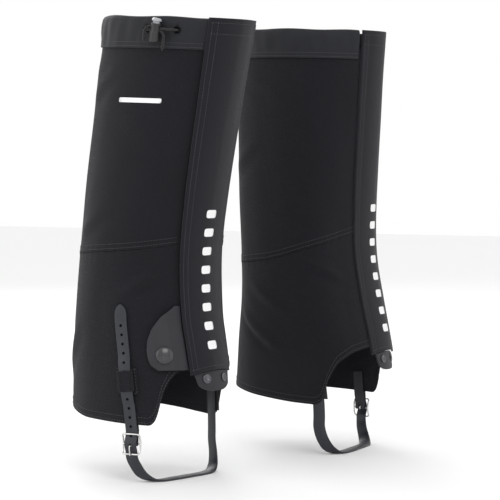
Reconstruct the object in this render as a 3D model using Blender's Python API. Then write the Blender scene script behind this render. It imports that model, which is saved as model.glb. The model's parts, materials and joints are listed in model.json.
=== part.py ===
"""A pair of knee-high hiking gaiters as they sit round two boots, strapped and closed.

X is forward over the toes, Y runs across the pair with the right gaiter at -Y, Z is up, and z = 0 is
the underside of the instep straps. Lengths are metres. A place on a gaiter is given by an angle
round the leg (0 at the shin, 90 at the outer side, 180 at the calf), a height, and a distance out
from the inner face of the fabric.
"""

from math import cos, hypot, pi, radians, sin

import bmesh
import bpy
import numpy as np
from mathutils import Vector

MM = 0.001

# The pair: each gaiter's side of the pair, its place forward, and how its leg leans forward.
SIDES = {
    "right": {"sign": -1, "forward": -0.0225, "lean": 0.158, "tilt": 0.055},
    "left": {"sign": 1, "forward": 0.0225, "lean": 0.0, "tilt": 0.025},
}
HALF_STANCE = 0.125
TOE_OUT = radians(7.7)

# The leg tube: an oval at each height, and its centre's place forward of the ankle's.
HEIGHTS = (0.050, 0.117, 0.165, 0.215, 0.270, 0.360, 0.455)
HALF_DEPTH = (0.089, 0.081, 0.0735, 0.070, 0.0715, 0.0745, 0.079)
HALF_WIDTH = (0.065, 0.069, 0.070, 0.0695, 0.067, 0.063, 0.061)
CENTRE = (0.003, 0.000, -0.003, -0.007, -0.008, -0.006, -0.004)
ANKLE = 0.150
RIM = 0.452

# Thicknesses, and the gap between pieces that touch.
GAP = 0.3 * MM
FABRIC = 1.2 * MM
TAPE = 0.9 * MM
FLAP = 1.6 * MM
STRAP = 1.8 * MM

# The panels: hem height and cross-seam height round the leg, and the front edges they end at.
HEM_ANGLES = (5, 28, 35, 41, 48, 52, 57, 75, 110, 143, 180, 217, 270, 288, 293, 296, 306, 319, 332, 340)
HEM = (0.112, 0.110, 0.107, 0.0996, 0.084, 0.066, 0.056, 0.057, 0.060, 0.067,
       0.070, 0.066, 0.056, 0.054, 0.060, 0.076, 0.098, 0.1086, 0.113, 0.114)
SEAM_ANGLES = (5, 68, 143, 180, 202, 261, 299, 340)
SEAM = (0.236, 0.226, 0.219, 0.208, 0.200, 0.2076, 0.2224, 0.237)
OUTER_FRONT_EDGE = 5
INNER_FRONT_EDGE = 340
PANEL_TOP = RIM - 20 * MM

# The front flap: the angles of its two long edges at four heights.
FLAP_HEIGHTS = (0.108, 0.200, 0.270, 0.450)
FLAP_OUTER_EDGE = (25.0, 25.5, 28.5, 34.0)
FLAP_INNER_EDGE = (-22.5, -23.5, -25.0, -27.0)
FLAP_END = 0.109
FLAP_END_RAKE = 0.35
TAPE_ANGLES = (6, 22)

# The angles that every layer's columns share, so that the layers stay an even distance apart.
FRONT_ANGLES = (5, 14, 22)
BODY_ANGLES = tuple(range(30, 331, 12))

# The collar: its section from the outer edge over the fold to the inner edge, as (out, down) in mm.
COLLAR_OUTSIDE = ((2.8, -31), (2.8, -24), (3.3, -17), (3.6, -11), (3.6, -4), (0.6, 0),
                  (-2.4, -4), (-2.4, -18), (-1.6, -22), (-1.6, -27))
COLLAR_INSIDE = ((-0.4, -27), (-0.4, -22.5), (-1.2, -18), (-1.2, -4.5), (0.6, -1.6),
                 (2.4, -4.5), (2.4, -18), (1.6, -23.3), (1.6, -31))

# The drawcord, its two eyelets and the cord lock.
CORD_DIAMETER = 2.4 * MM
CORD_HEIGHT = RIM - 13 * MM
CORD_OUT = 0.5 * MM
EYELET_ANGLES = (56.0, 79.5)
EYELET_BORE = 2.5 * MM
LOCK_ANGLE = 70.0
LOCK_OUT = 9.4 * MM
LOCK_RADIUS = 5.0 * MM
LOCK_TRAVEL = 2.0 * MM
PASS_STEP = 1.45 * MM

# The instep strap, its keeper and its buckle.
STRAP_ANGLE = 71.0
STRAP_WIDTH = 12.5 * MM
STRAP_TIP = 0.169
STRAP_HOLE = 1.7 * MM
HOLE_STEP = 8.9 * MM
HOLE_COUNT = 14
KEEPER_HEIGHT = 0.099
KEEPER_LENGTH = 20 * MM
BUCKLE_HEIGHT = 0.038
WIRE = 0.9 * MM
BUCKLE_HALF = (9.3 * MM, 9.8 * MM)
STRAP_OUT = 2.9 * MM

# The snap and the lace tab.
SNAP_ANGLE = 42.0
SNAP_HEIGHT = 0.1247
SNAP_FLAP_TOP = 0.172
SNAP_FLAP_END = 0.110
SNAP_FLAP_REACH = 54.0
LACE_TAB_ANGLES = (21.0, -18.0)
LACE_TAB_END = 0.0885
RIVET_ANGLES = (11.0, -9.0)
RIVET_HEIGHT = 0.1005


def through(x, xs, ys):
    """A smooth curve through the points (xs, ys), read at x."""
    x = min(max(x, xs[0]), xs[-1])
    i = min(max(int(np.searchsorted(xs, x)) - 1, 0), len(xs) - 2)
    slopes = np.gradient(np.array(ys), np.array(xs))
    step = xs[i + 1] - xs[i]
    f = (x - xs[i]) / step
    return (
        (1 + 2 * f) * (1 - f) ** 2 * ys[i]
        + f * (1 - f) ** 2 * step * slopes[i]
        + f * f * (3 - 2 * f) * ys[i + 1]
        + f * f * (f - 1) * step * slopes[i + 1]
    )


def to_world(side, forward, outward, z):
    """A point given forward of and outward from one gaiter's own centre, in the pair's frame."""
    gaiter = SIDES[side]
    x = gaiter["forward"] + forward * cos(TOE_OUT) - outward * sin(TOE_OUT)
    y = gaiter["sign"] * (HALF_STANCE + forward * sin(TOE_OUT) + outward * cos(TOE_OUT))
    return Vector((x, y, z))


def spot(side, degrees, z, out):
    """The point at this angle, height and distance out from the fabric's inner face."""
    gaiter = SIDES[side]
    angle = radians(degrees)
    depth = through(z, HEIGHTS, HALF_DEPTH)
    width = through(z, HEIGHTS, HALF_WIDTH)
    slope = (cos(angle) / depth, sin(angle) / width)
    size = hypot(*slope)
    forward = depth * cos(angle) + out * slope[0] / size
    outward = width * sin(angle) + out * slope[1] / size
    above = max(z - ANKLE, 0.0)
    shift = through(z, HEIGHTS, CENTRE) + gaiter["lean"] * above**2 / (above + 0.03)
    drop = gaiter["tilt"] * forward * above / (RIM - ANKLE)
    return to_world(side, forward + shift, outward, z - drop)


class Seat:
    """A flat place on a gaiter: a point, the way out, the way up, and the way forward round the leg."""

    def __init__(self, side, degrees, z, out):
        self.point = spot(side, degrees, z, out)
        up = spot(side, degrees, z + 2 * MM, out) - spot(side, degrees, z - 2 * MM, out)
        self.up = up.normalized()
        ahead = spot(side, degrees - 1, z, out) - spot(side, degrees + 1, z, out)
        self.ahead = (ahead - self.up * ahead.dot(self.up)).normalized()
        self.out = self.ahead.cross(self.up) * -SIDES[side]["sign"]

    def at(self, ahead, up, out):
        return self.point + self.ahead * ahead + self.up * up + self.out * out


def material(name, colour, roughness, metallic=0.0):
    made = bpy.data.materials.new(name)
    made.use_nodes = True
    shader = made.node_tree.nodes["Principled BSDF"]
    shader.inputs["Base Color"].default_value = (*colour, 1.0)
    shader.inputs["Roughness"].default_value = roughness
    shader.inputs["Metallic"].default_value = metallic
    return made


def add(name, points, faces, finish, origin, smooth=True):
    """A closed or open mesh as an object whose origin is at the given point."""
    mesh = bpy.data.meshes.new(name)
    mesh.from_pydata([Vector(p) - origin for p in points], [], faces)
    shape = bmesh.new()
    shape.from_mesh(mesh)
    bmesh.ops.recalc_face_normals(shape, faces=shape.faces)
    shape.to_mesh(mesh)
    shape.free()
    made = bpy.data.objects.new(name, mesh)
    made.location = origin
    colour, roughness, metallic = finish
    mesh.materials.append(material(name, colour, roughness, metallic))
    if smooth:
        mesh.shade_smooth()
        mesh.set_sharp_from_angle(angle=radians(40))
    bpy.context.scene.collection.objects.link(made)
    return made


def grid_faces(columns, rows, closed=False):
    faces = []
    for i in range(columns if closed else columns - 1):
        j = (i + 1) % columns
        for k in range(rows - 1):
            faces.append((i * rows + k, j * rows + k, j * rows + k + 1, i * rows + k + 1))
    return faces


def sheet(name, columns, thickness, finish, origin):
    """A layer of fabric through a grid of points, given as columns of equal length."""
    rows = len(columns[0])
    points = [point for column in columns for point in column]
    made = add(name, points, grid_faces(len(columns), rows), finish, origin)
    solid = made.modifiers.new("thickness", "SOLIDIFY")
    solid.thickness = thickness
    solid.offset = 0.0
    return made


def swept(name, sections, finish, origin, closed=False):
    """A body through rings of points, with flat ends unless the rings close on themselves."""
    count = len(sections[0])
    points = [point for section in sections for point in section]
    faces = []
    for i in range(len(sections) if closed else len(sections) - 1):
        j = (i + 1) % len(sections)
        for k in range(count):
            m = (k + 1) % count
            faces.append((i * count + k, j * count + k, j * count + m, i * count + m))
    if not closed:
        last = (len(sections) - 1) * count
        faces.append(tuple(range(count)))
        faces.append(tuple(last + k for k in reversed(range(count))))
    return add(name, points, faces, finish, origin)


def turned(name, seat, profile, finish, origin, sides=12):
    """A round piece on the seat's outward axis. The profile runs as (radius, out) points."""
    points, rings = [], []
    for radius, out in profile:
        if radius == 0:
            rings.append([len(points)])
            points.append(seat.at(0, 0, out))
            continue
        rings.append(list(range(len(points), len(points) + sides)))
        for k in range(sides):
            angle = 2 * pi * k / sides
            points.append(seat.at(radius * cos(angle), radius * sin(angle), out))
    faces = []
    pairs = list(zip(rings, rings[1:]))
    if len(rings[0]) > 1:
        pairs.append((rings[-1], rings[0]))
    for first, second in pairs:
        for k in range(sides):
            m = (k + 1) % sides
            corners = [first[k % len(first)], first[m % len(first)]]
            corners += [second[m % len(second)], second[k % len(second)]]
            faces.append(tuple(dict.fromkeys(corners)))
    return add(name, points, faces, finish, origin)


def tube_rings(path, radius, across, sides=8, closed=False):
    """Rings of points round a path that lies in the plane whose normal is across."""
    rings = []
    last = len(path) - 1
    for i, point in enumerate(path):
        before = path[i - 1] if closed or i else point
        after = path[(i + 1) % len(path)] if closed or i < last else point
        second = (after - before).normalized().cross(across).normalized()
        ring = []
        for k in range(sides):
            angle = 2 * pi * k / sides
            ring.append(point + radius * (across * cos(angle) + second * sin(angle)))
        rings.append(ring)
    return rings


def ribbon(path, width_ways, width, thickness):
    """The four corners of a flat band at each point of its path."""
    sections = []
    for i, point in enumerate(path):
        along = (path[min(i + 1, len(path) - 1)] - path[max(i - 1, 0)]).normalized()
        wide = width_ways[i] - along * width_ways[i].dot(along)
        wide.normalize()
        thick = along.cross(wide)
        half = (wide * width / 2, thick * thickness / 2)
        sections.append([
            point + half[0] + half[1],
            point - half[0] + half[1],
            point - half[0] - half[1],
            point + half[0] - half[1],
        ])
    return sections


def punch(target, name, seats, radius, depth, sides=10):
    """Cuts a round hole through the target at each seat."""
    points, faces = [], []
    for seat in seats:
        first = len(points)
        for out in (-depth, depth):
            for k in range(sides):
                angle = 2 * pi * k / sides
                points.append(seat.at(radius * cos(angle), radius * sin(angle), out))
        for k in range(sides):
            m = (k + 1) % sides
            faces.append((first + k, first + m, first + sides + m, first + sides + k))
        faces.append(tuple(first + k for k in range(sides)))
        faces.append(tuple(first + sides + k for k in range(sides)))
    cutter = add(name, points, faces, (BLACK, 0.5, 0.0), target.location.copy())
    cut_with(target, cutter, "DIFFERENCE")


def cut_with(target, tool, operation):
    """Joins the tool to the target or cuts it away, and hides the tool."""
    step = target.modifiers.new(tool.name, "BOOLEAN")
    step.operation = operation
    step.object = tool
    tool.hide_render = True
    tool.display_type = "WIRE"


def cord(name, route, radius, finish):
    """A round cord along a smooth curve through its route, with closer points on its free end's bends."""
    lengths = [0.0]
    for first, second in zip(route, route[1:]):
        lengths.append(lengths[-1] + (second - first).length)
    bends = max(lengths[-1] - 62 * MM, 0.0)
    tunnel = np.linspace(0.0, bends, int(bends / (6 * radius)) + 1)[:-1]
    places = [*tunnel, *np.linspace(bends, lengths[-1], int((lengths[-1] - bends) / (2.5 * radius)))]
    path = bpy.data.curves.new(name, "CURVE")
    path.dimensions = "3D"
    path.bevel_depth = radius
    path.bevel_resolution = 2
    path.use_fill_caps = True
    line = path.splines.new("POLY")
    line.points.add(len(places) - 1)
    for i, where in enumerate(places):
        place = [through(where, lengths, [p[axis] for p in route]) for axis in range(3)]
        line.points[i].co = (*place, 1.0)
    colour, roughness, metallic = finish
    path.materials.append(material(name, colour, roughness, metallic))
    made = bpy.data.objects.new(name, path)
    bpy.context.scene.collection.objects.link(made)
    return made


BLACK = (0.012, 0.013, 0.015)
CANVAS = ((0.020, 0.022, 0.026), 0.9, 0.0)
COLLAR_CLOTH = ((0.028, 0.031, 0.037), 0.7, 0.0)
FLAP_CLOTH = ((0.024, 0.023, 0.033), 0.8, 0.0)
HOOK_PILE = ((0.010, 0.010, 0.011), 0.9, 0.0)
COATED = ((0.012, 0.012, 0.013), 0.5, 0.0)
STRAP_RUBBER = ((0.030, 0.034, 0.040), 0.45, 0.0)
BLACK_METAL = ((0.02, 0.02, 0.022), 0.3, 1.0)
DARK_NICKEL = ((0.10, 0.10, 0.11), 0.25, 1.0)
BRIGHT_STEEL = ((0.62, 0.62, 0.62), 0.25, 1.0)
LOCK_PLASTIC = ((0.015, 0.015, 0.017), 0.35, 0.0)
BUTTON_PLASTIC = ((0.20, 0.21, 0.22), 0.2, 0.0)
CORD_BRAID = ((0.014, 0.014, 0.016), 0.8, 0.0)


def hem(degrees):
    return float(np.interp(degrees, HEM_ANGLES, HEM))


def seam(degrees):
    return float(np.interp(degrees, SEAM_ANGLES, SEAM))


def flap_end(side, degrees):
    """The lower end of the front flap, cut square to the flap where the boot pushes it forward."""
    front = spot(side, 0, FLAP_END, 0) - spot(side, degrees, FLAP_END, 0)
    return FLAP_END - FLAP_END_RAKE * hypot(front.x, front.y) * abs(sin(radians(degrees)))


def flap_lift(degrees):
    """How far out the front flap's inner face lies: on the panel at its sewn edge, then over the tapes."""
    return float(np.interp(degrees, (-18, 4), (FABRIC + 1.7 * GAP, FABRIC + 2 * TAPE + 5.5 * GAP)))


def strap_lift(z):
    """How far out the strap's middle lies: on the panel, then over the keeper's base and the buckle's bar."""
    keeper = max(0.0, 1 - (abs(z - KEEPER_HEIGHT) / (1.2 * KEEPER_LENGTH)) ** 4)
    buckle = max(0.0, 1 - ((z - BUCKLE_HEIGHT) / BUCKLE_HALF[1]) ** 2) ** 2
    return STRAP_OUT + 2.1 * MM * keeper + 3.0 * MM * buckle


def build_panels(side, origin):
    out = FABRIC / 2
    angles = [*FRONT_ANGLES, *BODY_ANGLES, INNER_FRONT_EDGE]
    columns = []
    for degrees in angles:
        low = seam(degrees) + GAP / 2
        levels = np.linspace(low, PANEL_TOP, 6)
        columns.append([spot(side, degrees, z, out) for z in levels])
    sheet(f"{side}_upper_panel", columns, FABRIC, CANVAS, origin)
    corners = (36, 48, 50, 52, 57, 288, 293, 296, 300, 312)
    angles = sorted({*angles, *corners})
    columns = []
    for degrees in angles:
        levels = np.linspace(hem(degrees), seam(degrees) - GAP / 2, 6)
        columns.append([spot(side, degrees, z, out) for z in levels])
    lower = sheet(f"{side}_lower_panel", columns, FABRIC, CANVAS, origin)
    stud_hole = Seat(side, SNAP_ANGLE, SNAP_HEIGHT, out)
    punch(lower, f"{side}_stud_hole", [stud_hole], 1.6 * MM, 3 * MM)


def build_storm_flap(side, origin):
    columns = []
    for degrees in (-28.5, -20, -8, 5, 14):
        levels = [*np.linspace(0.116, 0.236, 6), *np.linspace(0.275, RIM - 4 * MM, 5)]
        columns.append([spot(side, degrees, z, -1.1 * MM) for z in levels])
    sheet(f"{side}_storm_flap", columns, 1.0 * MM, CANVAS, origin)


def build_tape(side, name, out, origin):
    columns = []
    for degrees in (TAPE_ANGLES[0], FRONT_ANGLES[1], TAPE_ANGLES[1]):
        levels = [*np.linspace(0.120, 0.236, 6), *np.linspace(0.275, RIM - 33 * MM, 4)]
        columns.append([spot(side, degrees, z, out) for z in levels])
    sheet(name, columns, TAPE, HOOK_PILE, origin)


def build_front_flap(side, origin):
    columns = []
    for share in np.linspace(0, 1, 9):
        column = []
        for step in np.linspace(0, 1, 15):
            z = FLAP_END + (RIM - FLAP_END) * step
            outer = through(z, FLAP_HEIGHTS, FLAP_OUTER_EDGE)
            inner = through(z, FLAP_HEIGHTS, FLAP_INNER_EDGE)
            degrees = inner + (outer - inner) * share
            z += (flap_end(side, degrees) - FLAP_END) * (1 - step) ** 6
            column.append(spot(side, degrees, z, flap_lift(degrees) + FLAP / 2))
        columns.append(column)
    sheet(f"{side}_front_flap", columns, FLAP, FLAP_CLOTH, origin)


def build_collar(side, origin):
    sections = []
    for degrees in BODY_ANGLES:
        outline = COLLAR_OUTSIDE + COLLAR_INSIDE
        sections.append([spot(side, degrees, RIM + down * MM, out * MM) for out, down in outline])
    collar = swept(f"{side}_collar", sections, COLLAR_CLOTH, origin)
    seats = [Seat(side, degrees, CORD_HEIGHT, 3.4 * MM) for degrees in EYELET_ANGLES]
    punch(collar, f"{side}_eyelet_holes", seats, EYELET_BORE + 0.7 * MM, 1.9 * MM, 14)


def build_eyelet(side, name, degrees, origin):
    seat = Seat(side, degrees, CORD_HEIGHT, 3.6 * MM)
    bore, barrel, flange = EYELET_BORE, EYELET_BORE + 0.35 * MM, EYELET_BORE + 1.6 * MM
    profile = [
        (bore, -0.9 * MM),
        (bore, 0.9 * MM),
        (bore + 0.7 * MM, 1.2 * MM),
        (flange - 0.3 * MM, 1.0 * MM),
        (flange, GAP),
        (barrel, GAP),
        (barrel, -0.9 * MM),
    ]
    turned(name, seat, profile, BLACK_METAL, origin)


def eyelet_route(side, degrees, way):
    """A cord's bend from the tunnel out through an eyelet and on towards the lock, as smooth points."""
    seat = Seat(side, degrees, CORD_HEIGHT, 0)
    steps = ((-8.0, 0.5), (-5.2, 0.5), (-2.5, 0.9), (-0.5, 2.2), (0.3, 4.2), (1.3, 6.4), (3.0, 8.3))
    return [seat.at(-way * ahead * MM, 0, out * MM) for ahead, out in steps]


def build_cords(side):
    lock = Seat(side, LOCK_ANGLE, CORD_HEIGHT, LOCK_OUT)
    back_pass, front_pass = -PASS_STEP, PASS_STEP
    first, last = BODY_ANGLES[-1] - 2, EYELET_ANGLES[1] + 9
    route = [spot(side, d, CORD_HEIGHT, CORD_OUT) for d in np.linspace(first, last, 28)]
    route += eyelet_route(side, EYELET_ANGLES[1], -1)
    for ahead, up, out in ((-5.6, 1.0, -0.05), (-3, 1, 0), (3, 1, 0), (6.5, 1.1, 0.2), (8.9, 2.6, 0.3),
                           (9.4, 5.2, -0.6), (9.3, 9.2, -2.0), (8.9, 13.4, -2.6)):
        route.append(lock.at(ahead * MM, up * back_pass, out * MM))
    cord(f"{side}_drawcord_back", route, CORD_DIAMETER / 2, CORD_BRAID)
    first, last = BODY_ANGLES[0] + 2, EYELET_ANGLES[0] - 9
    route = [spot(side, d, CORD_HEIGHT, CORD_OUT) for d in np.linspace(first, last, 3)]
    route += eyelet_route(side, EYELET_ANGLES[0], 1)
    for ahead, up, out in ((8.0, 0.9, -0.15), (3, 1, 0), (-3, 1, 0), (-6.4, 0.95, 0.4), (-8.6, 0.2, 2.0),
                           (-9.6, -1.8, 3.5), (-9.8, -5.0, 3.1), (-9.6, -9.2, 1.2)):
        route.append(lock.at(ahead * MM, up * front_pass, out * MM))
    cord(f"{side}_drawcord_front", route, CORD_DIAMETER / 2, CORD_BRAID)


def build_lock(side):
    """The barrel, its sprung button, and the spring below it, with the slot for the two cord passes."""
    lock = Seat(side, LOCK_ANGLE, CORD_HEIGHT, LOCK_OUT)
    upright = Seat(side, LOCK_ANGLE, CORD_HEIGHT, LOCK_OUT)
    upright.out, upright.up = lock.up, -lock.out
    origin = lock.point
    bore = 3.7 * MM
    low, high, floor, foot = -12.5 * MM, 5.4 * MM, -11.0 * MM, -5.8 * MM
    profile = [
        (0, low), (LOCK_RADIUS - 1.2 * MM, low), (LOCK_RADIUS, low + 1.2 * MM),
        (LOCK_RADIUS, high - 0.5 * MM), (LOCK_RADIUS - 0.5 * MM, high),
        (bore, high), (bore, floor), (0, floor),
    ]
    body = turned(f"{side}_cord_lock_body", upright, profile, LOCK_PLASTIC, origin)
    stem = bore - GAP
    top = high + LOCK_TRAVEL + GAP
    profile = [
        (0, foot), (stem, foot), (stem, top),
        (LOCK_RADIUS - 0.2 * MM, top), (LOCK_RADIUS - 0.2 * MM, top + 1.6 * MM),
        (LOCK_RADIUS - 1.4 * MM, top + 2.6 * MM), (0, top + 3.0 * MM),
    ]
    button = turned(f"{side}_cord_lock_button", upright, profile, BUTTON_PLASTIC, origin)
    slot = CORD_DIAMETER / 2 + 0.35 * MM
    for piece, rise in ((body, 0.0), (button, LOCK_TRAVEL)):
        outline = []
        for centre, start in ((PASS_STEP + rise, 0), (-PASS_STEP, pi)):
            for k in range(6):
                angle = start + pi * k / 5
                outline.append((slot * cos(angle), centre + slot * sin(angle)))
        ends = [[lock.at(reach, up, out) for out, up in outline] for reach in (-8 * MM, 8 * MM)]
        tool = swept(f"{piece.name}_cord_slot", ends, (BLACK, 0.5, 0.0), origin)
        cut_with(piece, tool, "DIFFERENCE")
    turns, wire, radius = 3, 0.35 * MM, 2.6 * MM
    rings = []
    count = turns * 8
    start = floor + GAP + wire
    rise = foot - GAP - wire - start
    path = []
    for i in range(count + 1):
        angle = 2 * pi * turns * i / count
        path.append(lock.at(radius * cos(angle), start + rise * i / count, radius * sin(angle)))
    for i, point in enumerate(path):
        along = (path[min(i + 1, count)] - path[max(i - 1, 0)]).normalized()
        centre = lock.at(0, (point - lock.point).dot(lock.up), 0)
        away = (point - centre).normalized()
        other = along.cross(away).normalized()
        rings.append([point + wire * (away * cos(k * pi / 2) + other * sin(k * pi / 2)) for k in range(4)])
    swept(f"{side}_cord_lock_spring", rings, BRIGHT_STEEL, origin)


def strap_path(side):
    """The strap's middle line: from its tip down the outer side, under the arch, up inside the inner hem."""
    path = [spot(side, STRAP_ANGLE, z, strap_lift(z)) for z in np.linspace(STRAP_TIP, 0.066, 10)]
    path += [spot(side, STRAP_ANGLE, z, strap_lift(z)) for z in np.linspace(0.056, 0.0265, 10)]
    arch = ((0.0345, 0.0610, 0.0170), (0.0385, 0.0560, 0.0080),
            (0.0430, 0.0480, 0.0026), (0.0470, 0.0380, STRAP / 2))
    path += [to_world(side, *point) for point in arch]
    path += [to_world(side, 0.0490, across, STRAP / 2) for across in (0.020, 0.0, -0.020)]
    path += [to_world(side, point[0], -point[1] + 0.0045, point[2]) for point in reversed(arch)]
    path += [spot(side, -STRAP_ANGLE, z, -3.0 * MM) for z in (0.030, 0.042, 0.056, 0.070, 0.084)]
    return path


def build_strap(side, origin):
    path = strap_path(side)
    centre = to_world(side, 0, 0, 0)
    outward = to_world(side, 0, 1, 0) - centre
    ahead = to_world(side, 1, 0, 0) - centre
    ways = []
    for point in path:
        across = (point - centre).dot(outward)
        ways.append((ahead - outward * 0.30 * across / 0.062).normalized())
    sections = ribbon(path, ways, STRAP_WIDTH, STRAP)
    ends = []
    for rise, narrowing in ((4.5 * MM, 0.86), (2.8 * MM, 0.42)):
        end = []
        for corner in sections[0]:
            away = corner - path[0]
            end.append(corner + Vector((0, 0, rise)) - ways[0] * away.dot(ways[0]) * narrowing)
        ends.append(end)
    strap = swept(f"{side}_instep_strap", [*ends, *sections], STRAP_RUBBER, origin)
    first = BUCKLE_HEIGHT - 0.9 * MM
    seats = []
    for k in range(HOLE_COUNT):
        z = first + k * HOLE_STEP
        seats.append(Seat(side, STRAP_ANGLE, z, strap_lift(z)))
    punch(strap, f"{side}_strap_holes", seats, STRAP_HOLE, 2.2 * MM, 8)
    columns = []
    for degrees in (-STRAP_ANGLE - 7, -STRAP_ANGLE, -STRAP_ANGLE + 7):
        columns.append([spot(side, degrees, z, -0.9 * MM) for z in (0.060, 0.070, 0.080, 0.090)])
    sheet(f"{side}_strap_anchor", columns, 1.0 * MM, HOOK_PILE, origin)


def build_keeper(side, origin):
    columns = []
    for degrees in (STRAP_ANGLE + 7.5, STRAP_ANGLE, STRAP_ANGLE - 7.5):
        levels = np.linspace(KEEPER_HEIGHT - 13 * MM, KEEPER_HEIGHT + 13 * MM, 3)
        columns.append([spot(side, degrees, z, FABRIC + GAP + 0.5 * MM) for z in levels])
    sheet(f"{side}_keeper_patch", columns, 0.8 * MM, CANVAS, origin)
    wall, clear = 0.8 * MM, 0.5 * MM
    half = STRAP_WIDTH / 2 + clear
    deep = STRAP / 2 + clear
    rings = []
    for z in (KEEPER_HEIGHT + KEEPER_LENGTH / 2, KEEPER_HEIGHT - KEEPER_LENGTH / 2):
        seat = Seat(side, STRAP_ANGLE, z, STRAP_OUT + 2.1 * MM)
        for grow in (wall, 0.0):
            a, b = half + grow, deep + grow
            rings.append([seat.at(x, 0, y) for x, y in ((-a, -b), (a, -b), (a, b), (-a, b))])
    order = [rings[0], rings[2], rings[3], rings[1]]
    swept(f"{side}_strap_keeper", order, CANVAS, origin, closed=True)


def build_buckle(side, origin):
    seat = Seat(side, STRAP_ANGLE, BUCKLE_HEIGHT, STRAP_OUT)
    half_wide, half_tall = BUCKLE_HALF
    corner = 2.6 * MM
    bar_out, end_out = -0.6 * MM, 2.35 * MM
    outline = []
    for sign_x, sign_y, start in ((1, 1, 0), (-1, 1, 90), (-1, -1, 180), (1, -1, 270)):
        for k in range(4):
            angle = radians(start + 30 * k)
            x = sign_x * (half_wide - corner) + corner * cos(angle)
            y = sign_y * (half_tall - corner) + corner * sin(angle)
            outline.append((x, y))
        if start in (0, 180):
            continue
        outline.append((-half_wide if start == 90 else half_wide, 0.0))
    loop = []
    for x, y in outline:
        out = bar_out + (end_out - bar_out) * (abs(y) / half_tall) ** 2
        loop.append(seat.at(x, y, out))
    rings = []
    for i, point in enumerate(loop):
        along = (loop[(i + 1) % len(loop)] - loop[i - 1]).normalized()
        away = along.cross(seat.out).normalized()
        other = away.cross(along)
        rings.append([point + WIRE * (away * cos(k * pi / 3) + other * sin(k * pi / 3)) for k in range(6)])
    frame = swept(f"{side}_buckle_frame", rings, BRIGHT_STEEL, origin, closed=True)
    bar = [seat.at(-half_wide, 0, bar_out), seat.at(half_wide, 0, bar_out)]
    tool = swept(f"{side}_buckle_bar", tube_rings(bar, WIRE * 0.96, seat.up, 8), BRIGHT_STEEL, origin)
    cut_with(frame, tool, "UNION")
    pin = Seat(side, STRAP_ANGLE, BUCKLE_HEIGHT, STRAP_OUT + bar_out)
    ring = WIRE + 0.25 * MM + 0.7 * MM
    path = []
    for degrees in range(50, 331, 35):
        path.append(pin.at(0, ring * sin(radians(degrees)), ring * cos(radians(degrees))))
    shank = ((2.9, -1.1), (4.4, -1.3), (5.4, -2.2), (5.5, -4.4), (5.1, -7.4), (4.75, -10.0), (4.5, -11.2))
    path += [pin.at(0, up * MM, out * MM) for out, up in shank]
    prong = tube_rings(path, 0.7 * MM, pin.ahead, 6)
    swept(f"{side}_buckle_prong", prong, BRIGHT_STEEL, pin.point)
    wrap = WIRE + 0.3 * MM + 0.4 * MM
    path = [spot(side, STRAP_ANGLE, z, -1.0 * MM) for z in (0.078, 0.068, 0.060, 0.0545)]
    path.append(pin.at(0, 12.4 * MM, -3.0 * MM))
    path.append(pin.at(0, 7.0 * MM, -1.9 * MM))
    for degrees in range(180, 421, 30):
        path.append(pin.at(0, wrap * sin(radians(degrees)), wrap * cos(radians(degrees))))
    sections = ribbon(path, [pin.ahead] * len(path), 12 * MM, 0.8 * MM)
    tab = swept(f"{side}_buckle_tab", sections, COATED, origin)
    half, low, high = 1.7 * MM, -4.0 * MM, 4.2 * MM
    corners = ((-half, low), (half, low), (half, high), (-half, high))
    slot = [[pin.at(x, y, out) for x, y in corners] for out in (-5 * MM, 5 * MM)]
    tool = swept(f"{side}_prong_slot", slot, (BLACK, 0.5, 0.0), origin)
    cut_with(tab, tool, "DIFFERENCE")


def snap_flap_reach(z):
    """The angle that the snap flap's rounded outer edge reaches at each height."""
    levels = (SNAP_FLAP_END, 0.114, 0.120, 0.128, 0.138, 0.150, 0.162, SNAP_FLAP_TOP)
    reaches = (47.0, 52.0, 53.6, SNAP_FLAP_REACH, 52.8, 48.5, 41.0, 30.0)
    return float(np.interp(z, levels, reaches))


def snap_flap_edge(z):
    return through(z, FLAP_HEIGHTS, FLAP_OUTER_EDGE) + 0.6


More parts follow.
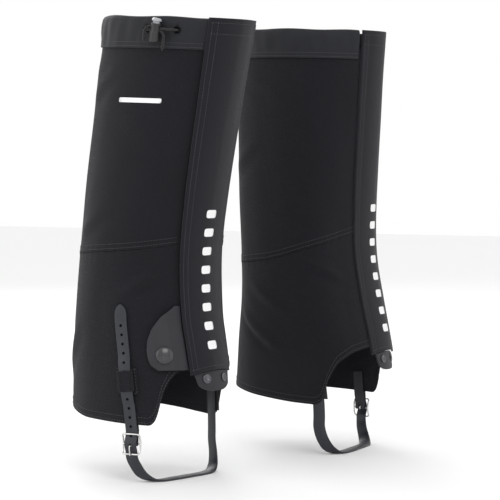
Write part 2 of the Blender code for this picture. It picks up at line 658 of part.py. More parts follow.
def build_snap(side, origin, hinge):
    levels = (SNAP_FLAP_END, 0.114, 0.120, 0.128, 0.138, 0.150, 0.162, SNAP_FLAP_TOP)
    columns = []
    for share in np.linspace(0, 1, 8):
        column = []
        for z in levels:
            inner = snap_flap_edge(z)
            degrees = inner + (snap_flap_reach(z) - inner) * share
            lift = float(np.interp(degrees, (26, 37, 47, 54), (2.9, 5.4, 5.4, 4.4))) * MM
            column.append(spot(side, degrees, z, lift))
        columns.append(column)
    flap = sheet(f"{side}_snap_flap", columns, FLAP, COATED, hinge)
    seat = Seat(side, SNAP_ANGLE, SNAP_HEIGHT, 5.4 * MM)
    punch(flap, f"{side}_cap_hole", [seat], 1.6 * MM, 2 * MM)
    face = FLAP / 2 + GAP
    profile = [
        (0, -0.7 * MM), (1.2 * MM, -0.7 * MM), (1.2 * MM, face),
        (8.0 * MM, face), (8.5 * MM, face + 0.6 * MM), (8.0 * MM, face + 1.8 * MM),
        (6.0 * MM, face + 3.0 * MM), (3.0 * MM, face + 3.6 * MM), (0, face + 3.8 * MM),
    ]
    turned(f"{side}_snap_cap", seat, profile, LOCK_PLASTIC, hinge, 18)
    under = -FLAP / 2 - 1.5 * GAP
    profile = [
        (0, under - 0.5 * MM), (4.3 * MM, under - 0.5 * MM), (4.3 * MM, under - 1.9 * MM),
        (6.0 * MM, under - 1.9 * MM), (6.0 * MM, under), (0, under),
    ]
    turned(f"{side}_snap_socket", seat, profile, BLACK_METAL, hinge)
    panel = Seat(side, SNAP_ANGLE, SNAP_HEIGHT, FABRIC)
    profile = [
        (0, -1.9 * MM), (1.2 * MM, -1.9 * MM), (1.2 * MM, GAP), (5.5 * MM, GAP), (5.5 * MM, GAP + 0.6 * MM),
        (2.0 * MM, GAP + 0.6 * MM), (2.3 * MM, 1.9 * MM), (1.6 * MM, 2.3 * MM), (0, 2.3 * MM),
    ]
    turned(f"{side}_snap_stud", panel, profile, BLACK_METAL, origin)
    inside = -FABRIC - 3 * GAP
    profile = [
        (0, inside - 0.9 * MM), (5.0 * MM, inside - 0.9 * MM), (5.5 * MM, inside - 0.4 * MM),
        (5.5 * MM, inside), (1.6 * MM, inside), (1.6 * MM, inside - 0.5 * MM), (0, inside - 0.5 * MM),
    ]
    turned(f"{side}_snap_post", panel, profile, BLACK_METAL, origin)


def build_lace_tab(side, hinge):
    columns = []
    for share in np.linspace(0, 1, 7):
        degrees = LACE_TAB_ANGLES[0] + (LACE_TAB_ANGLES[1] - LACE_TAB_ANGLES[0]) * share
        top = flap_end(side, degrees) - 0.8 * MM
        bow = abs(2 * share - 1)
        low = LACE_TAB_END + 5.5 * MM * bow**3
        column = []
        for step in np.linspace(0, 1, 5):
            narrow = degrees * (1 - 0.12 * (1 - step))
            column.append(spot(side, narrow, low + (top - low) * step, FABRIC + 1.0 * MM))
        columns.append(column)
    tab = sheet(f"{side}_lace_tab", columns, 1.8 * MM, COATED, hinge)
    seats = [Seat(side, degrees, RIVET_HEIGHT, FABRIC + 1.0 * MM) for degrees in RIVET_ANGLES]
    punch(tab, f"{side}_tab_rivet_holes", seats, 1.9 * MM, 1.6 * MM)
    columns = []
    for degrees in (17, 11, 5.5, 0, -4.5, -9, -15):
        columns.append([spot(side, degrees, z, FABRIC - 0.75 * MM) for z in (0.0960, RIVET_HEIGHT, 0.1045)])
    hook = sheet(f"{side}_lace_hook", columns, 0.9 * MM, BRIGHT_STEEL, hinge)
    middle = Seat(side, 1.0, RIVET_HEIGHT, FABRIC - 0.75 * MM)
    path = [middle.at(0, 3.0 * MM, -0.05 * MM), middle.at(0, -4.0 * MM, -0.05 * MM)]
    for degrees in range(0, 181, 30):
        swing = radians(degrees)
        path.append(middle.at(0, (-8.5 - 3.2 * sin(swing)) * MM, (-3.25 + 3.2 * cos(swing)) * MM))
    path += [middle.at(0, up * MM, -6.45 * MM) for up in (-7.4, -4.0)]
    sections = ribbon(path, [middle.ahead] * len(path), 7 * MM, 1.0 * MM)
    tool = swept(f"{side}_hook_bend", sections, BRIGHT_STEEL, hinge)
    cut_with(hook, tool, "UNION")
    punch(hook, f"{side}_hook_rivet_holes", seats, 1.9 * MM, 4 * MM)
    for seat, name, radius in zip(seats, ("outer", "inner"), (4.9, 4.4)):
        wide = radius * MM
        profile = [
            (0, 1.95 * MM), (wide - 1.3 * MM, 1.95 * MM), (wide, 1.2 * MM),
            (1.4 * MM, 1.2 * MM), (1.4 * MM, -2.6 * MM), (0, -2.6 * MM),
        ]
        turned(f"{side}_lace_rivet_{name}", seat, profile, DARK_NICKEL, hinge)


def hinge_points(side):
    """A point on each moving piece's axis, and the axis's two ends where it follows an edge."""
    low = spot(side, -23.5, 0.112, 0)
    high = spot(side, -27.0, RIM, 0)
    deepest = spot(side, -24.0, 0.225, 0)
    share = (deepest.z - low.z) / (high.z - low.z)
    back = deepest - low.lerp(high, share)
    back.z = 0
    snap_top = spot(side, snap_flap_edge(0.165) - 0.2, 0.165, 4.1 * MM)
    snap_low = spot(side, snap_flap_edge(0.112) - 0.2, 0.112, 4.1 * MM)
    tab = Seat(side, 1.5, flap_end(side, 1.5) - 0.4 * MM, FABRIC + 1.9 * MM)
    return {
        "flap": (low + back, high + back),
        "snap": (snap_low, snap_top),
        "tab": (tab.at(-10 * MM, 0, 0), tab.at(10 * MM, 0, 0)),
    }


def build_gaiter(side):
    origin = to_world(side, 0, 0, 0)
    hinges = hinge_points(side)
    build_panels(side, origin)
    build_storm_flap(side, origin)
    build_tape(side, f"{side}_hook_tape", FABRIC + GAP + TAPE / 2, origin)
    build_collar(side, origin)
    for degrees, name in zip(EYELET_ANGLES, ("front", "back")):
        build_eyelet(side, f"{side}_eyelet_{name}", degrees, origin)
    build_cords(side)
    build_lock(side)
    build_strap(side, origin)
    build_keeper(side, origin)
    build_buckle(side, origin)
    build_front_flap(side, hinges["flap"][0])
    build_tape(side, f"{side}_loop_tape", FABRIC + 2.2 * GAP + 1.5 * TAPE, hinges["flap"][0])
    build_snap(side, origin, hinges["snap"][0])
    build_lace_tab(side, (hinges["tab"][0] + hinges["tab"][1]) / 2)


for old in list(bpy.data.objects):
    bpy.data.objects.remove(old)
for name in SIDES:
    build_gaiter(name)
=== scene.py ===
"""The looks of a pair of knee-high gaiters, made round their frame. Metres, +X over the toes, +Z up."""

import json
from math import cos, pi, radians, sin

import bmesh
import bpy
import numpy as np
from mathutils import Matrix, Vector


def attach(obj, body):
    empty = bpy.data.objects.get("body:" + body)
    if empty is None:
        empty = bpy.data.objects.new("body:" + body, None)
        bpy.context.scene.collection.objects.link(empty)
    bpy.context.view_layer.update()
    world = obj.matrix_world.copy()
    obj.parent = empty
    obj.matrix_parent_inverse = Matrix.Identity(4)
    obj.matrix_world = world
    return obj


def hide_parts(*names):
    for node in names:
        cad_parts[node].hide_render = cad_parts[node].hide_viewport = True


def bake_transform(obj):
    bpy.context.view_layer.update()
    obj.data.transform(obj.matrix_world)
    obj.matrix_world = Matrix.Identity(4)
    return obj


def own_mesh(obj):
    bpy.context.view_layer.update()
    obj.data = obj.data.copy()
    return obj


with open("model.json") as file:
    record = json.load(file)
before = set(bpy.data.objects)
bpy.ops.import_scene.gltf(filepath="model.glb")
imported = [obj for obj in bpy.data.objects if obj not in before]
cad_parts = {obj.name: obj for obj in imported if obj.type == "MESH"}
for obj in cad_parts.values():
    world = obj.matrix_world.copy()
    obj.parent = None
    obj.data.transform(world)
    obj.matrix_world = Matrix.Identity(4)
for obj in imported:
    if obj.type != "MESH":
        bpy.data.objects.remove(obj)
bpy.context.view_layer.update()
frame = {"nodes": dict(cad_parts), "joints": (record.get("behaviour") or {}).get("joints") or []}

# --- Camera, floor and studio light -------------------------------------------------------------
# A long lens a little over two metres away, at knee height, a third of the way round the outer side
# of the right gaiter. Large soft lights stand on both sides, over a pale seamless floor.
VIEW_AZIMUTH = radians(33.8)
VIEW_DISTANCE = 2.15
VIEW_HEIGHT = 0.315
VIEW_DOWN = radians(2.45)
VIEW_ASIDE = radians(2.66)
near_ankle = Vector((-0.0225, -0.125, VIEW_HEIGHT))
towards = Vector((sin(VIEW_AZIMUTH), -cos(VIEW_AZIMUTH), 0.0))
camera = bpy.data.objects.new("camera", bpy.data.cameras.new("camera"))
camera.data.lens = 155
camera.data.sensor_width = 36
camera.location = near_ankle + VIEW_DISTANCE * towards
camera.rotation_euler = (pi / 2 - VIEW_DOWN, 0.0, VIEW_AZIMUTH - VIEW_ASIDE)
bpy.context.scene.collection.objects.link(camera)
bpy.context.scene.camera = camera
bpy.context.scene.view_settings.view_transform = "Standard"

world = bpy.data.worlds.new("studio")
world.use_nodes = True
world.node_tree.nodes["Background"].inputs["Color"].default_value = (1.0, 1.0, 1.0, 1.0)
world.node_tree.nodes["Background"].inputs["Strength"].default_value = 1.0
bpy.context.scene.world = world
for name, place, size, power in (("key", (1.5, -1.7, 1.9), 1.4, 21.0), ("fill", (-1.4, -2.2, 1.2), 1.6, 10.0),
                                 ("rim", (-1.6, 1.4, 1.6), 1.2, 17.0)):
    light = bpy.data.lights.new(name, "AREA")
    light.energy = power
    light.size = size
    lamp = bpy.data.objects.new(name, light)
    lamp.location = place
    lamp.rotation_euler = (Vector((0, 0, 0.22)) - lamp.location).to_track_quat("-Z", "Y").to_euler()
    bpy.context.scene.collection.objects.link(lamp)


def node(tree, kind, settings, inputs):
    """One node of a shader or geometry tree, with its settings, and its inputs as values or as links."""
    made = tree.nodes.new(kind)
    for key, value in settings.items():
        setattr(made, key, value)
    for key, value in inputs.items():
        if isinstance(value, bpy.types.NodeSocket):
            tree.links.new(value, made.inputs[key])
        else:
            made.inputs[key].default_value = value
    return made


def shaded(name, roughness, metallic=0.0, **uniform):
    """A new material with its Principled shader's even values, as (material, tree, shader)."""
    material = bpy.data.materials.new(name)
    material.use_nodes = True
    tree = material.node_tree
    shader = tree.nodes["Principled BSDF"]
    shader.inputs["Roughness"].default_value = roughness
    shader.inputs["Metallic"].default_value = metallic
    for key, value in uniform.items():
        shader.inputs[key.replace("_", " ")].default_value = value
    return material, tree, shader


floor_mesh = bpy.data.meshes.new("floor")
reach = 6.0
floor_mesh.from_pydata([(-reach, -reach, 0), (reach, -reach, 0), (reach, reach, 0), (-reach, reach, 0)], [],
                       [(0, 1, 2, 3)])
floor = bpy.data.objects.new("floor", floor_mesh)
bpy.context.scene.collection.objects.link(floor)
floor_paint, tree, shader = shaded("floor_paint", 0.7)
shader.inputs["Base Color"].default_value = (0.90, 0.90, 0.90, 1.0)
floor_mesh.materials.append(floor_paint)

# --- Drawcords ----------------------------------------------------------------------------------
# Two braided cords a gaiter, 2.4 mm thick. Each is sewn down at one front edge of the collar's tunnel,
# runs round inside it, comes out of an eyelet, passes through the cord lock and hangs in a sealed end.
MM = 0.001
SIDES = {
    "right": {"sign": -1, "forward": -0.0225, "lean": 0.158, "tilt": 0.055},
    "left": {"sign": 1, "forward": 0.0225, "lean": 0.0, "tilt": 0.025},
}
HALF_STANCE = 0.125
TOE_OUT = radians(7.7)
HEIGHTS = (0.050, 0.117, 0.165, 0.215, 0.270, 0.360, 0.455)
HALF_DEPTH = (0.089, 0.081, 0.0735, 0.070, 0.0715, 0.0745, 0.079)
HALF_WIDTH = (0.065, 0.069, 0.070, 0.0695, 0.067, 0.063, 0.061)
CENTRE = (0.003, 0.000, -0.003, -0.007, -0.008, -0.006, -0.004)
ANKLE = 0.150
RIM = 0.452
CORD_DIAMETER = 2.4 * MM
CORD_HEIGHT = RIM - 13 * MM
EYELET_ANGLES = (56.0, 79.5)
LOCK_ANGLE = 70.0
LOCK_OUT = 9.4 * MM
PASS_STEP = 1.45 * MM


def through(x, xs, ys):
    """A smooth curve through the points (xs, ys), read at x."""
    xs, ys = np.array(xs, float), np.array(ys, float)
    x = np.clip(x, xs[0], xs[-1])
    i = np.clip(np.searchsorted(xs, x) - 1, 0, len(xs) - 2)
    slopes = np.gradient(ys, xs)
    step = xs[i + 1] - xs[i]
    f = (x - xs[i]) / step
    return (
        (1 + 2 * f) * (1 - f) ** 2 * ys[i]
        + f * (1 - f) ** 2 * step * slopes[i]
        + f * f * (3 - 2 * f) * ys[i + 1]
        + f * f * (f - 1) * step * slopes[i + 1]
    )


def to_world(side, forward, outward, z):
    """Points given forward of and outward from one gaiter's own centre, in the pair's frame."""
    gaiter = SIDES[side]
    x = gaiter["forward"] + forward * cos(TOE_OUT) - outward * sin(TOE_OUT)
    y = gaiter["sign"] * (HALF_STANCE + forward * sin(TOE_OUT) + outward * cos(TOE_OUT))
    return np.stack(np.broadcast_arrays(x, y, z), axis=-1)


def spot(side, degrees, z, out):
    """Points at these angles round the leg (0 the shin, 90 the outer side), heights, and distances out."""
    gaiter = SIDES[side]
    degrees, z = np.asarray(degrees, float), np.asarray(z, float)
    angle = np.radians(degrees)
    depth, width = through(z, HEIGHTS, HALF_DEPTH), through(z, HEIGHTS, HALF_WIDTH)
    slope_forward, slope_outward = np.cos(angle) / depth, np.sin(angle) / width
    size = np.hypot(slope_forward, slope_outward)
    forward = depth * np.cos(angle) + out * slope_forward / size
    outward = width * np.sin(angle) + out * slope_outward / size
    above = np.maximum(z - ANKLE, 0.0)
    shift = through(z, HEIGHTS, CENTRE) + gaiter["lean"] * above**2 / (above + 0.03)
    drop = gaiter["tilt"] * forward * above / (RIM - ANKLE)
    return to_world(side, forward + shift, outward, z - drop)


class Seat:
    """A flat place on a gaiter: a point, the way out, the way up, and the way forward round the leg."""

    def __init__(self, side, degrees, z, out):
        self.point = Vector(spot(side, degrees, z, out))
        up = spot(side, degrees, z + 2 * MM, out) - spot(side, degrees, z - 2 * MM, out)
        self.up = Vector(up).normalized()
        ahead = Vector(spot(side, degrees - 1, z, out) - spot(side, degrees + 1, z, out))
        self.ahead = (ahead - self.up * ahead.dot(self.up)).normalized()
        self.out = self.ahead.cross(self.up) * -SIDES[side]["sign"]

    def at(self, ahead, up, out):
        return self.point + self.ahead * ahead + self.up * up + self.out * out


def eyelet_route(side, degrees, way):
    """A cord's bend from the tunnel out through an eyelet and on towards the lock."""
    seat = Seat(side, degrees, CORD_HEIGHT, 0)
    steps = ((-8.0, 0.5), (-5.2, 0.5), (-2.5, 0.9), (-0.5, 2.2), (0.3, 4.2), (1.3, 6.4), (3.0, 8.3))
    return [seat.at(-way * ahead * MM, 0, out * MM) for ahead, out in steps]


def cord_route(side, which):
    """The route of one drawcord, from where it is sewn down to its free end."""
    lock = Seat(side, LOCK_ANGLE, CORD_HEIGHT, LOCK_OUT)
    if which == "back":
        angles, eyelet, way, row = np.linspace(328, 88.5, 28), EYELET_ANGLES[1], -1, -PASS_STEP
        free = ((-5.6, 1.0, -0.05), (-3, 1, 0), (3, 1, 0), (6.5, 1.1, 0.2), (8.9, 2.6, 0.3),
                (9.4, 5.2, -0.6), (9.3, 9.2, -2.0), (8.9, 13.4, -2.6))
    else:
        angles, eyelet, way, row = np.linspace(32, 47, 3), EYELET_ANGLES[0], 1, PASS_STEP
        free = ((8.0, 0.9, -0.15), (3, 1, 0), (-3, 1, 0), (-6.4, 0.95, 0.4), (-8.6, 0.2, 2.0),
                (-9.6, -1.8, 3.5), (-9.8, -5.0, 3.1), (-9.6, -9.2, 1.2))
    route = [Vector(spot(side, degrees, CORD_HEIGHT, 0.5 * MM)) for degrees in angles]
    route += eyelet_route(side, eyelet, way)
    route += [lock.at(ahead * MM, up * row, out * MM) for ahead, up, out in free]
    return route


def smooth_path(route, step):
    """Points a step apart on the smooth curve through the route's own points, and the curve's length."""
    route = np.array([tuple(point) for point in route])
    lengths = np.concatenate([[0.0], np.cumsum(np.linalg.norm(np.diff(route, axis=0), axis=1))])
    places = np.linspace(0.0, lengths[-1], max(int(lengths[-1] / step), 2))
    points = np.stack([through(places, lengths, route[:, axis]) for axis in range(3)], axis=-1)
    return points, float(np.linalg.norm(np.diff(points, axis=0), axis=1).sum())


def new_piece(name, points, faces, material, smooth_angle=40.0, uvs=None):
    """A mesh object at the origin with its place in its mesh. UVs are one pair for each point."""
    mesh = bpy.data.meshes.new(name)
    mesh.from_pydata([tuple(point) for point in points], [], faces)
    if uvs is not None:
        layer = mesh.uv_layers.new(name="cloth")
        corners = np.empty(len(mesh.loops), np.int32)
        mesh.loops.foreach_get("vertex_index", corners)
        layer.data.foreach_set("uv", np.asarray(uvs, np.float32)[corners].ravel())
    shape = bmesh.new()
    shape.from_mesh(mesh)
    bmesh.ops.recalc_face_normals(shape, faces=shape.faces)
    shape.to_mesh(mesh)
    shape.free()
    mesh.materials.append(material)
    mesh.shade_smooth()
    mesh.set_sharp_from_angle(angle=radians(smooth_angle))
    made = bpy.data.objects.new(name, mesh)
    bpy.context.scene.collection.objects.link(made)
    return made


def tube(name, path, radii, material, sides=12, closed=False):
    """A round tube along a path, with a radius at each point, and UVs in metres along and round it."""
    path = np.asarray(path)
    count = len(path)
    ahead = np.roll(path, -1, axis=0) - np.roll(path, 1, axis=0)
    if not closed:
        ahead[0], ahead[-1] = path[1] - path[0], path[-1] - path[-2]
    ahead /= np.linalg.norm(ahead, axis=1)[:, None]
    across = Vector(ahead[0]).orthogonal().normalized()
    points, uvs, along = [], [], 0.0
    for i in range(count):
        way = Vector(ahead[i])
        across = (across - way * across.dot(way)).normalized()
        second = way.cross(across)
        along += float(np.linalg.norm(path[i] - path[i - 1])) if i else 0.0
        for k in range(sides):
            angle = 2 * pi * k / sides
            points.append(Vector(path[i]) + float(radii[i]) * (across * cos(angle) + second * sin(angle)))
            uvs.append((2 * pi * radii[i] * k / sides, along))
    faces = []
    for i in range(count if closed else count - 1):
        j = (i + 1) % count
        for k in range(sides):
            m = (k + 1) % sides
            faces.append((i * sides + k, i * sides + m, j * sides + m, j * sides + k))
    if not closed:
        faces += [tuple(range(sides)), tuple((count - 1) * sides + k for k in range(sides))]
    return new_piece(name, points, faces, material, 60.0, uvs)


def group(name, inputs, outputs):
    """An empty shader node group with named sockets, as (group, input node, output node)."""
    made = bpy.data.node_groups.new(name, "ShaderNodeTree")
    for label, kind, value in inputs:
        made.interface.new_socket(label, in_out="INPUT", socket_type=kind).default_value = value
    for label in outputs:
        made.interface.new_socket(label, in_out="OUTPUT", socket_type="NodeSocketFloat")
    return made, made.nodes.new("NodeGroupInput"), made.nodes.new("NodeGroupOutput")


def maths(tree, operation, first, second=0.0):
    return node(tree, "ShaderNodeMath", {"operation": operation}, {0: first, 1: second}).outputs[0]


# Threads that pass over and under each other, from a place on the cloth in metres.
weave, given, result = group("plain_weave", [("Place", "NodeSocketVector", (0, 0, 0)),
                                             ("Pitch", "NodeSocketFloat", 0.001)], ["Height", "Over"])
place = node(weave, "ShaderNodeSeparateXYZ", {}, {0: given.outputs["Place"]})
waves = []
for axis in (0, 1):
    turns = maths(weave, "DIVIDE", place.outputs[axis], given.outputs["Pitch"])
    waves.append(maths(weave, "SINE", maths(weave, "MULTIPLY", turns, pi)))
over = maths(weave, "GREATER_THAN", maths(weave, "MULTIPLY", waves[0], waves[1]), 0.0)
tops = [maths(weave, "ABSOLUTE", wave) for wave in waves]
top = node(weave, "ShaderNodeMix", {}, {"Factor": over, "A": tops[0], "B": tops[1]}).outputs["Result"]
weave.links.new(maths(weave, "POWER", top, 0.6), result.inputs["Height"])
weave.links.new(over, result.inputs["Over"])

# Uneven dye and lint: broad soft patches and a few fine specks.
wear, given, result = group("dye_and_lint", [("Place", "NodeSocketVector", (0, 0, 0)),
                                             ("Patch size", "NodeSocketFloat", 0.05)], ["Patches", "Lint"])
scale = maths(wear, "DIVIDE", 1.0, given.outputs["Patch size"])
patches = node(wear, "ShaderNodeTexNoise", {}, {
    "Vector": given.outputs["Place"], "Scale": scale, "Detail": 4.0})
specks = node(wear, "ShaderNodeTexNoise", {}, {
    "Vector": given.outputs["Place"], "Scale": 900.0, "Detail": 1.0})
wear.links.new(patches.outputs["Fac"], result.inputs["Patches"])
lint = node(wear, "ShaderNodeMapRange", {}, {
    "Value": specks.outputs["Fac"], "From Min": 0.72, "From Max": 0.80})
wear.links.new(lint.outputs["Result"], result.inputs["Lint"])


def cloth(name, dark, light, pitch, roughness, thread=0.22, bump=0.5, sheen=0.15, specular=0.25, turn=0.0):
    """A woven cloth whose threads follow the piece's own UVs, with uneven dye, a little lint, and painted
    shade that darkens the hollows between the threads, as deep as thread sets.
    """
    material, tree, shader = shaded(name, roughness, Specular_IOR_Level=specular, Sheen_Weight=sheen)
    uv = node(tree, "ShaderNodeUVMap", {"uv_map": "cloth"}, {})
    turned_uv = node(tree, "ShaderNodeMapping", {}, {"Vector": uv.outputs[0], "Rotation": (0.0, 0.0, turn)})
    threads = node(tree, "ShaderNodeGroup", {"node_tree": weave}, {
        "Place": turned_uv.outputs[0], "Pitch": pitch})
    where = node(tree, "ShaderNodeTexCoord", {}, {})
    wide = node(tree, "ShaderNodeGroup", {"node_tree": wear}, {"Place": where.outputs["Object"]})
    dye = node(tree, "ShaderNodeMix", {"data_type": "RGBA"}, {"Factor": wide.outputs["Patches"]})
    dye.inputs["A"].default_value, dye.inputs["B"].default_value = (*dark, 1.0), (*light, 1.0)
    # Painted shade: the low places of the weave, between the threads, are darkened towards black.
    deep = maths(tree, "SUBTRACT", 1.0, threads.outputs["Height"])
    shadow = maths(tree, "MULTIPLY", deep, thread)
    woven = node(tree, "ShaderNodeMix", {"data_type": "RGBA"}, {"Factor": shadow, "A": dye.outputs["Result"]})
    woven.inputs["B"].default_value = (0.0, 0.0, 0.0, 1.0)
    dusty = maths(tree, "MULTIPLY", wide.outputs["Lint"], 0.10)
    final = node(tree, "ShaderNodeMix", {"data_type": "RGBA"}, {
        "Factor": dusty, "A": woven.outputs["Result"]})
    final.inputs["B"].default_value = (0.30, 0.30, 0.31, 1.0)
    tree.links.new(final.outputs["Result"], shader.inputs["Base Color"])
    relief = node(tree, "ShaderNodeBump", {}, {"Height": threads.outputs["Height"], "Strength": bump,
                                               "Distance": 0.25 * pitch})
    tree.links.new(relief.outputs["Normal"], shader.inputs["Normal"])
    uneven = maths(tree, "MULTIPLY_ADD", wide.outputs["Patches"], 0.14)
    uneven.node.inputs[2].default_value = roughness - 0.07
    tree.links.new(uneven, shader.inputs["Roughness"])
    return material


cord_braid = cloth("cord_braid", (0.010, 0.010, 0.011), (0.018, 0.018, 0.020), 0.8 * MM, 0.6, thread=0.7,
                   bump=0.9, turn=radians(45))
for side in SIDES:
    for which in ("back", "front"):
        path, length = smooth_path(cord_route(side, which), 1.1 * MM)
        radii = np.full(len(path), CORD_DIAMETER / 2)
        radii[-1], radii[-2] = 0.55 * radii[-1], 0.95 * radii[-2]
        drawcord = tube(f"{side}_{which}_drawcord", path, radii, cord_braid)
        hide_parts(f"{side}_drawcord_{which}")
        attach(drawcord, f"{side}_gaiter")

# --- Fabric panels ------------------------------------------------------------------------------
# Two panels of black coated nylon wrap each leg from the shin round the calf, joined by a slanting
# flat-felled seam. The lower one is cut to ride over the boot, and its hem is folded double.
FABRIC = 1.2 * MM
PANEL_TOP = RIM - 20 * MM
HEM_ANGLES = (5, 28, 35, 41, 48, 52, 57, 75, 110, 143, 180, 217, 270, 288, 293, 296, 306, 319, 332, 340)
HEM = (0.112, 0.110, 0.107, 0.0996, 0.084, 0.066, 0.056, 0.057, 0.060, 0.067,
       0.070, 0.066, 0.056, 0.054, 0.060, 0.076, 0.098, 0.1086, 0.113, 0.114)
SEAM_ANGLES = (5, 68, 143, 180, 202, 261, 299, 340)
SEAM = (0.236, 0.226, 0.219, 0.208, 0.200, 0.2076, 0.2224, 0.237)
FRONT_EDGES = (5, 340)
ROUND_A_DEGREE = 1.2 * MM
STRAP_ANGLE = 71.0
# Each crease runs between two places (angle, height), and has a height and a width in millimetres.
CREASES = {
    "right": (((37, 0.208), (72, 0.183), 1.5, 5.0), ((96, 0.262), (128, 0.240), 0.9, 7.0),
              ((52, 0.330), (88, 0.352), 0.6, 9.0), ((120, 0.150), (152, 0.100), 1.0, 8.0),
              ((105, 0.400), (140, 0.372), 0.8, 7.0), ((262, 0.196), (300, 0.178), 1.3, 5.0)),
    "left": (((222, 0.152), (262, 0.112), 1.5, 5.0), ((235, 0.182), (272, 0.150), 1.1, 6.0),
             ((290, 0.206), (322, 0.188), 1.0, 5.0), ((205, 0.300), (240, 0.330), 0.9, 8.0),
             ((228, 0.405), (262, 0.385), 0.7, 7.0), ((40, 0.208), (72, 0.186), 1.3, 5.0)),
}


def hem(degrees):
    """The hem's height, with its corners rounded as a folded edge turns them."""
    steps = np.linspace(-2.5, 2.5, 7)
    return sum(np.interp(degrees + step, HEM_ANGLES, HEM) for step in steps) / len(steps)


def seam(degrees):
    steps = np.linspace(-12, 12, 9)
    return sum(np.interp(degrees + step, SEAM_ANGLES, SEAM) for step in steps) / len(steps)


def ease(x, low, high):
    """0 below low, 1 above high, and smooth between."""
    f = np.clip((x - low) / (high - low), 0.0, 1.0)
    return f * f * (3 - 2 * f)


def fold(side, degrees, z):
    """How far the cloth stands off its even form: soft folds down the calf, and creases over the boot."""
    phase = 0.9 * SIDES[side]["sign"]
    long_folds = 0.85 * np.sin(np.radians(4.7 * degrees) + 7.0 * z + phase) * ease(degrees, 85, 135)
    broad = 0.55 * np.sin(np.radians(2.3 * degrees) - 23.0 * z + 2 * phase)
    ripples = 0.22 * np.sin(np.radians(11 * degrees) + 41 * z) * np.sin(np.radians(3 * degrees) - 19 * z)
    stand = long_folds + broad + ripples
    round_leg = ROUND_A_DEGREE * np.asarray(degrees)
    for (angle_1, z_1), (angle_2, z_2), height, width in CREASES[side]:
        run = np.array((ROUND_A_DEGREE * (angle_2 - angle_1), z_2 - z_1))
        size = float(np.hypot(*run))
        from_start = (round_leg - ROUND_A_DEGREE * angle_1, z - z_1)
        along = (from_start[0] * run[0] + from_start[1] * run[1]) / size**2
        aside = (from_start[1] * run[0] - from_start[0] * run[1]) / size / (width * MM)
        ends = np.exp(-((2.1 * (along - 0.5)) ** 4))
        stand = stand + 1.5 * height * ends * (np.exp(-(aside**2)) - 0.6 * np.exp(-((aside + 1.7) ** 2)))
    pucker = 0.22 * np.sin(round_leg / (1.5 * MM)) * np.exp(-np.abs(z - seam(degrees)) / (7 * MM))
    stand = stand + pucker
    front = ease(degrees, 36, 50) * (1 - ease(degrees, 318, 332))
    under_collar = 1 - ease(z, RIM - 56 * MM, RIM - 33 * MM)
    hardware = np.exp(-(((degrees - STRAP_ANGLE) / 13) ** 4)) * (1 - ease(z, 0.172, 0.190))
    snap = (1 - ease(degrees, 55, 62)) * (1 - ease(z, 0.168, 0.184))
    return stand * MM * front * under_collar * (1 - hardware) * (1 - snap)


def cloth_grid(name, side, degrees, z, out, thickness, material):
    """A layer of cloth through a grid of places on a gaiter, with UVs in metres round and up it."""
    points = spot(side, degrees, z, out)
    columns, rows = points.shape[:2]
    uvs = np.stack([ROUND_A_DEGREE * degrees, np.broadcast_to(z, degrees.shape)], axis=-1).reshape(-1, 2)
    faces = []
    for i in range(columns - 1):
        for k in range(rows - 1):
            first = i * rows + k
            faces.append((first, first + rows, first + rows + 1, first + 1))
    made = new_piece(name, points.reshape(-1, 3), faces, material, 50.0, uvs)
    solid = made.modifiers.new("thickness", "SOLIDIFY")
    solid.thickness = thickness
    solid.offset = 0.0
    return made


def settle(piece, body, slot, *nodes):
    """The piece rides on its body and stands for these frame nodes, which it hides. The slot is not used."""
    if nodes:
        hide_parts(*nodes)
    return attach(piece, body)


def panel_out(side, degrees, z, edge):
    """The panel's middle, with the double cloth of a hem or a seam standing a little proud along an edge."""
    doubled = 0.35 * MM * (1 - ease(z - edge, 8.5 * MM, 9.5 * MM))
    return FABRIC / 2 + fold(side, degrees, z) + doubled


canvas = cloth("canvas", (0.0052, 0.0054, 0.0082), (0.0105, 0.0108, 0.0148), 1.5 * MM, 0.80,
               thread=0.75, bump=0.9, sheen=0.08, specular=0.16)
panel_angles = np.unique(np.concatenate([np.linspace(*FRONT_EDGES, 202), np.arange(44, 60, 0.6),
                                         np.arange(284, 300, 0.6)]))
for side in SIDES:
    for which in ("upper", "lower"):
        rows = np.linspace(0, 1, 92)[None, :]
        degrees = np.repeat(panel_angles[:, None], rows.shape[1], axis=1)
        if which == "upper":
            low, high = seam(degrees) + 0.15 * MM, np.full(degrees.shape, PANEL_TOP)
        else:
            low, high = hem(degrees), seam(degrees) - 0.15 * MM
        z = low + (high - low) * rows
        panel = cloth_grid(f"{side}_{which}_cloth", side, degrees, z, panel_out(side, degrees, z, low),
                           FABRIC, canvas)
        settle(panel, f"{side}_gaiter", "canvas", f"{side}_{which}_panel")

# --- Storm flap ---------------------------------------------------------------------------------
# A strip of the same cloth sewn behind the front opening, so that snow can't come through it.
for side in SIDES:
    degrees, share = np.meshgrid(np.linspace(-28.5, 14, 30), np.linspace(0, 1, 90), indexing="ij")
    z = 0.116 + (RIM - 4 * MM - 0.116) * share
    out = -1.1 * MM + 0.12 * MM * np.sin(60 * z + np.radians(5 * degrees))
    storm_flap = cloth_grid(f"{side}_storm_cloth", side, degrees, z, out, 1.0 * MM, canvas)
    settle(storm_flap, f"{side}_gaiter", "canvas", f"{side}_storm_flap")

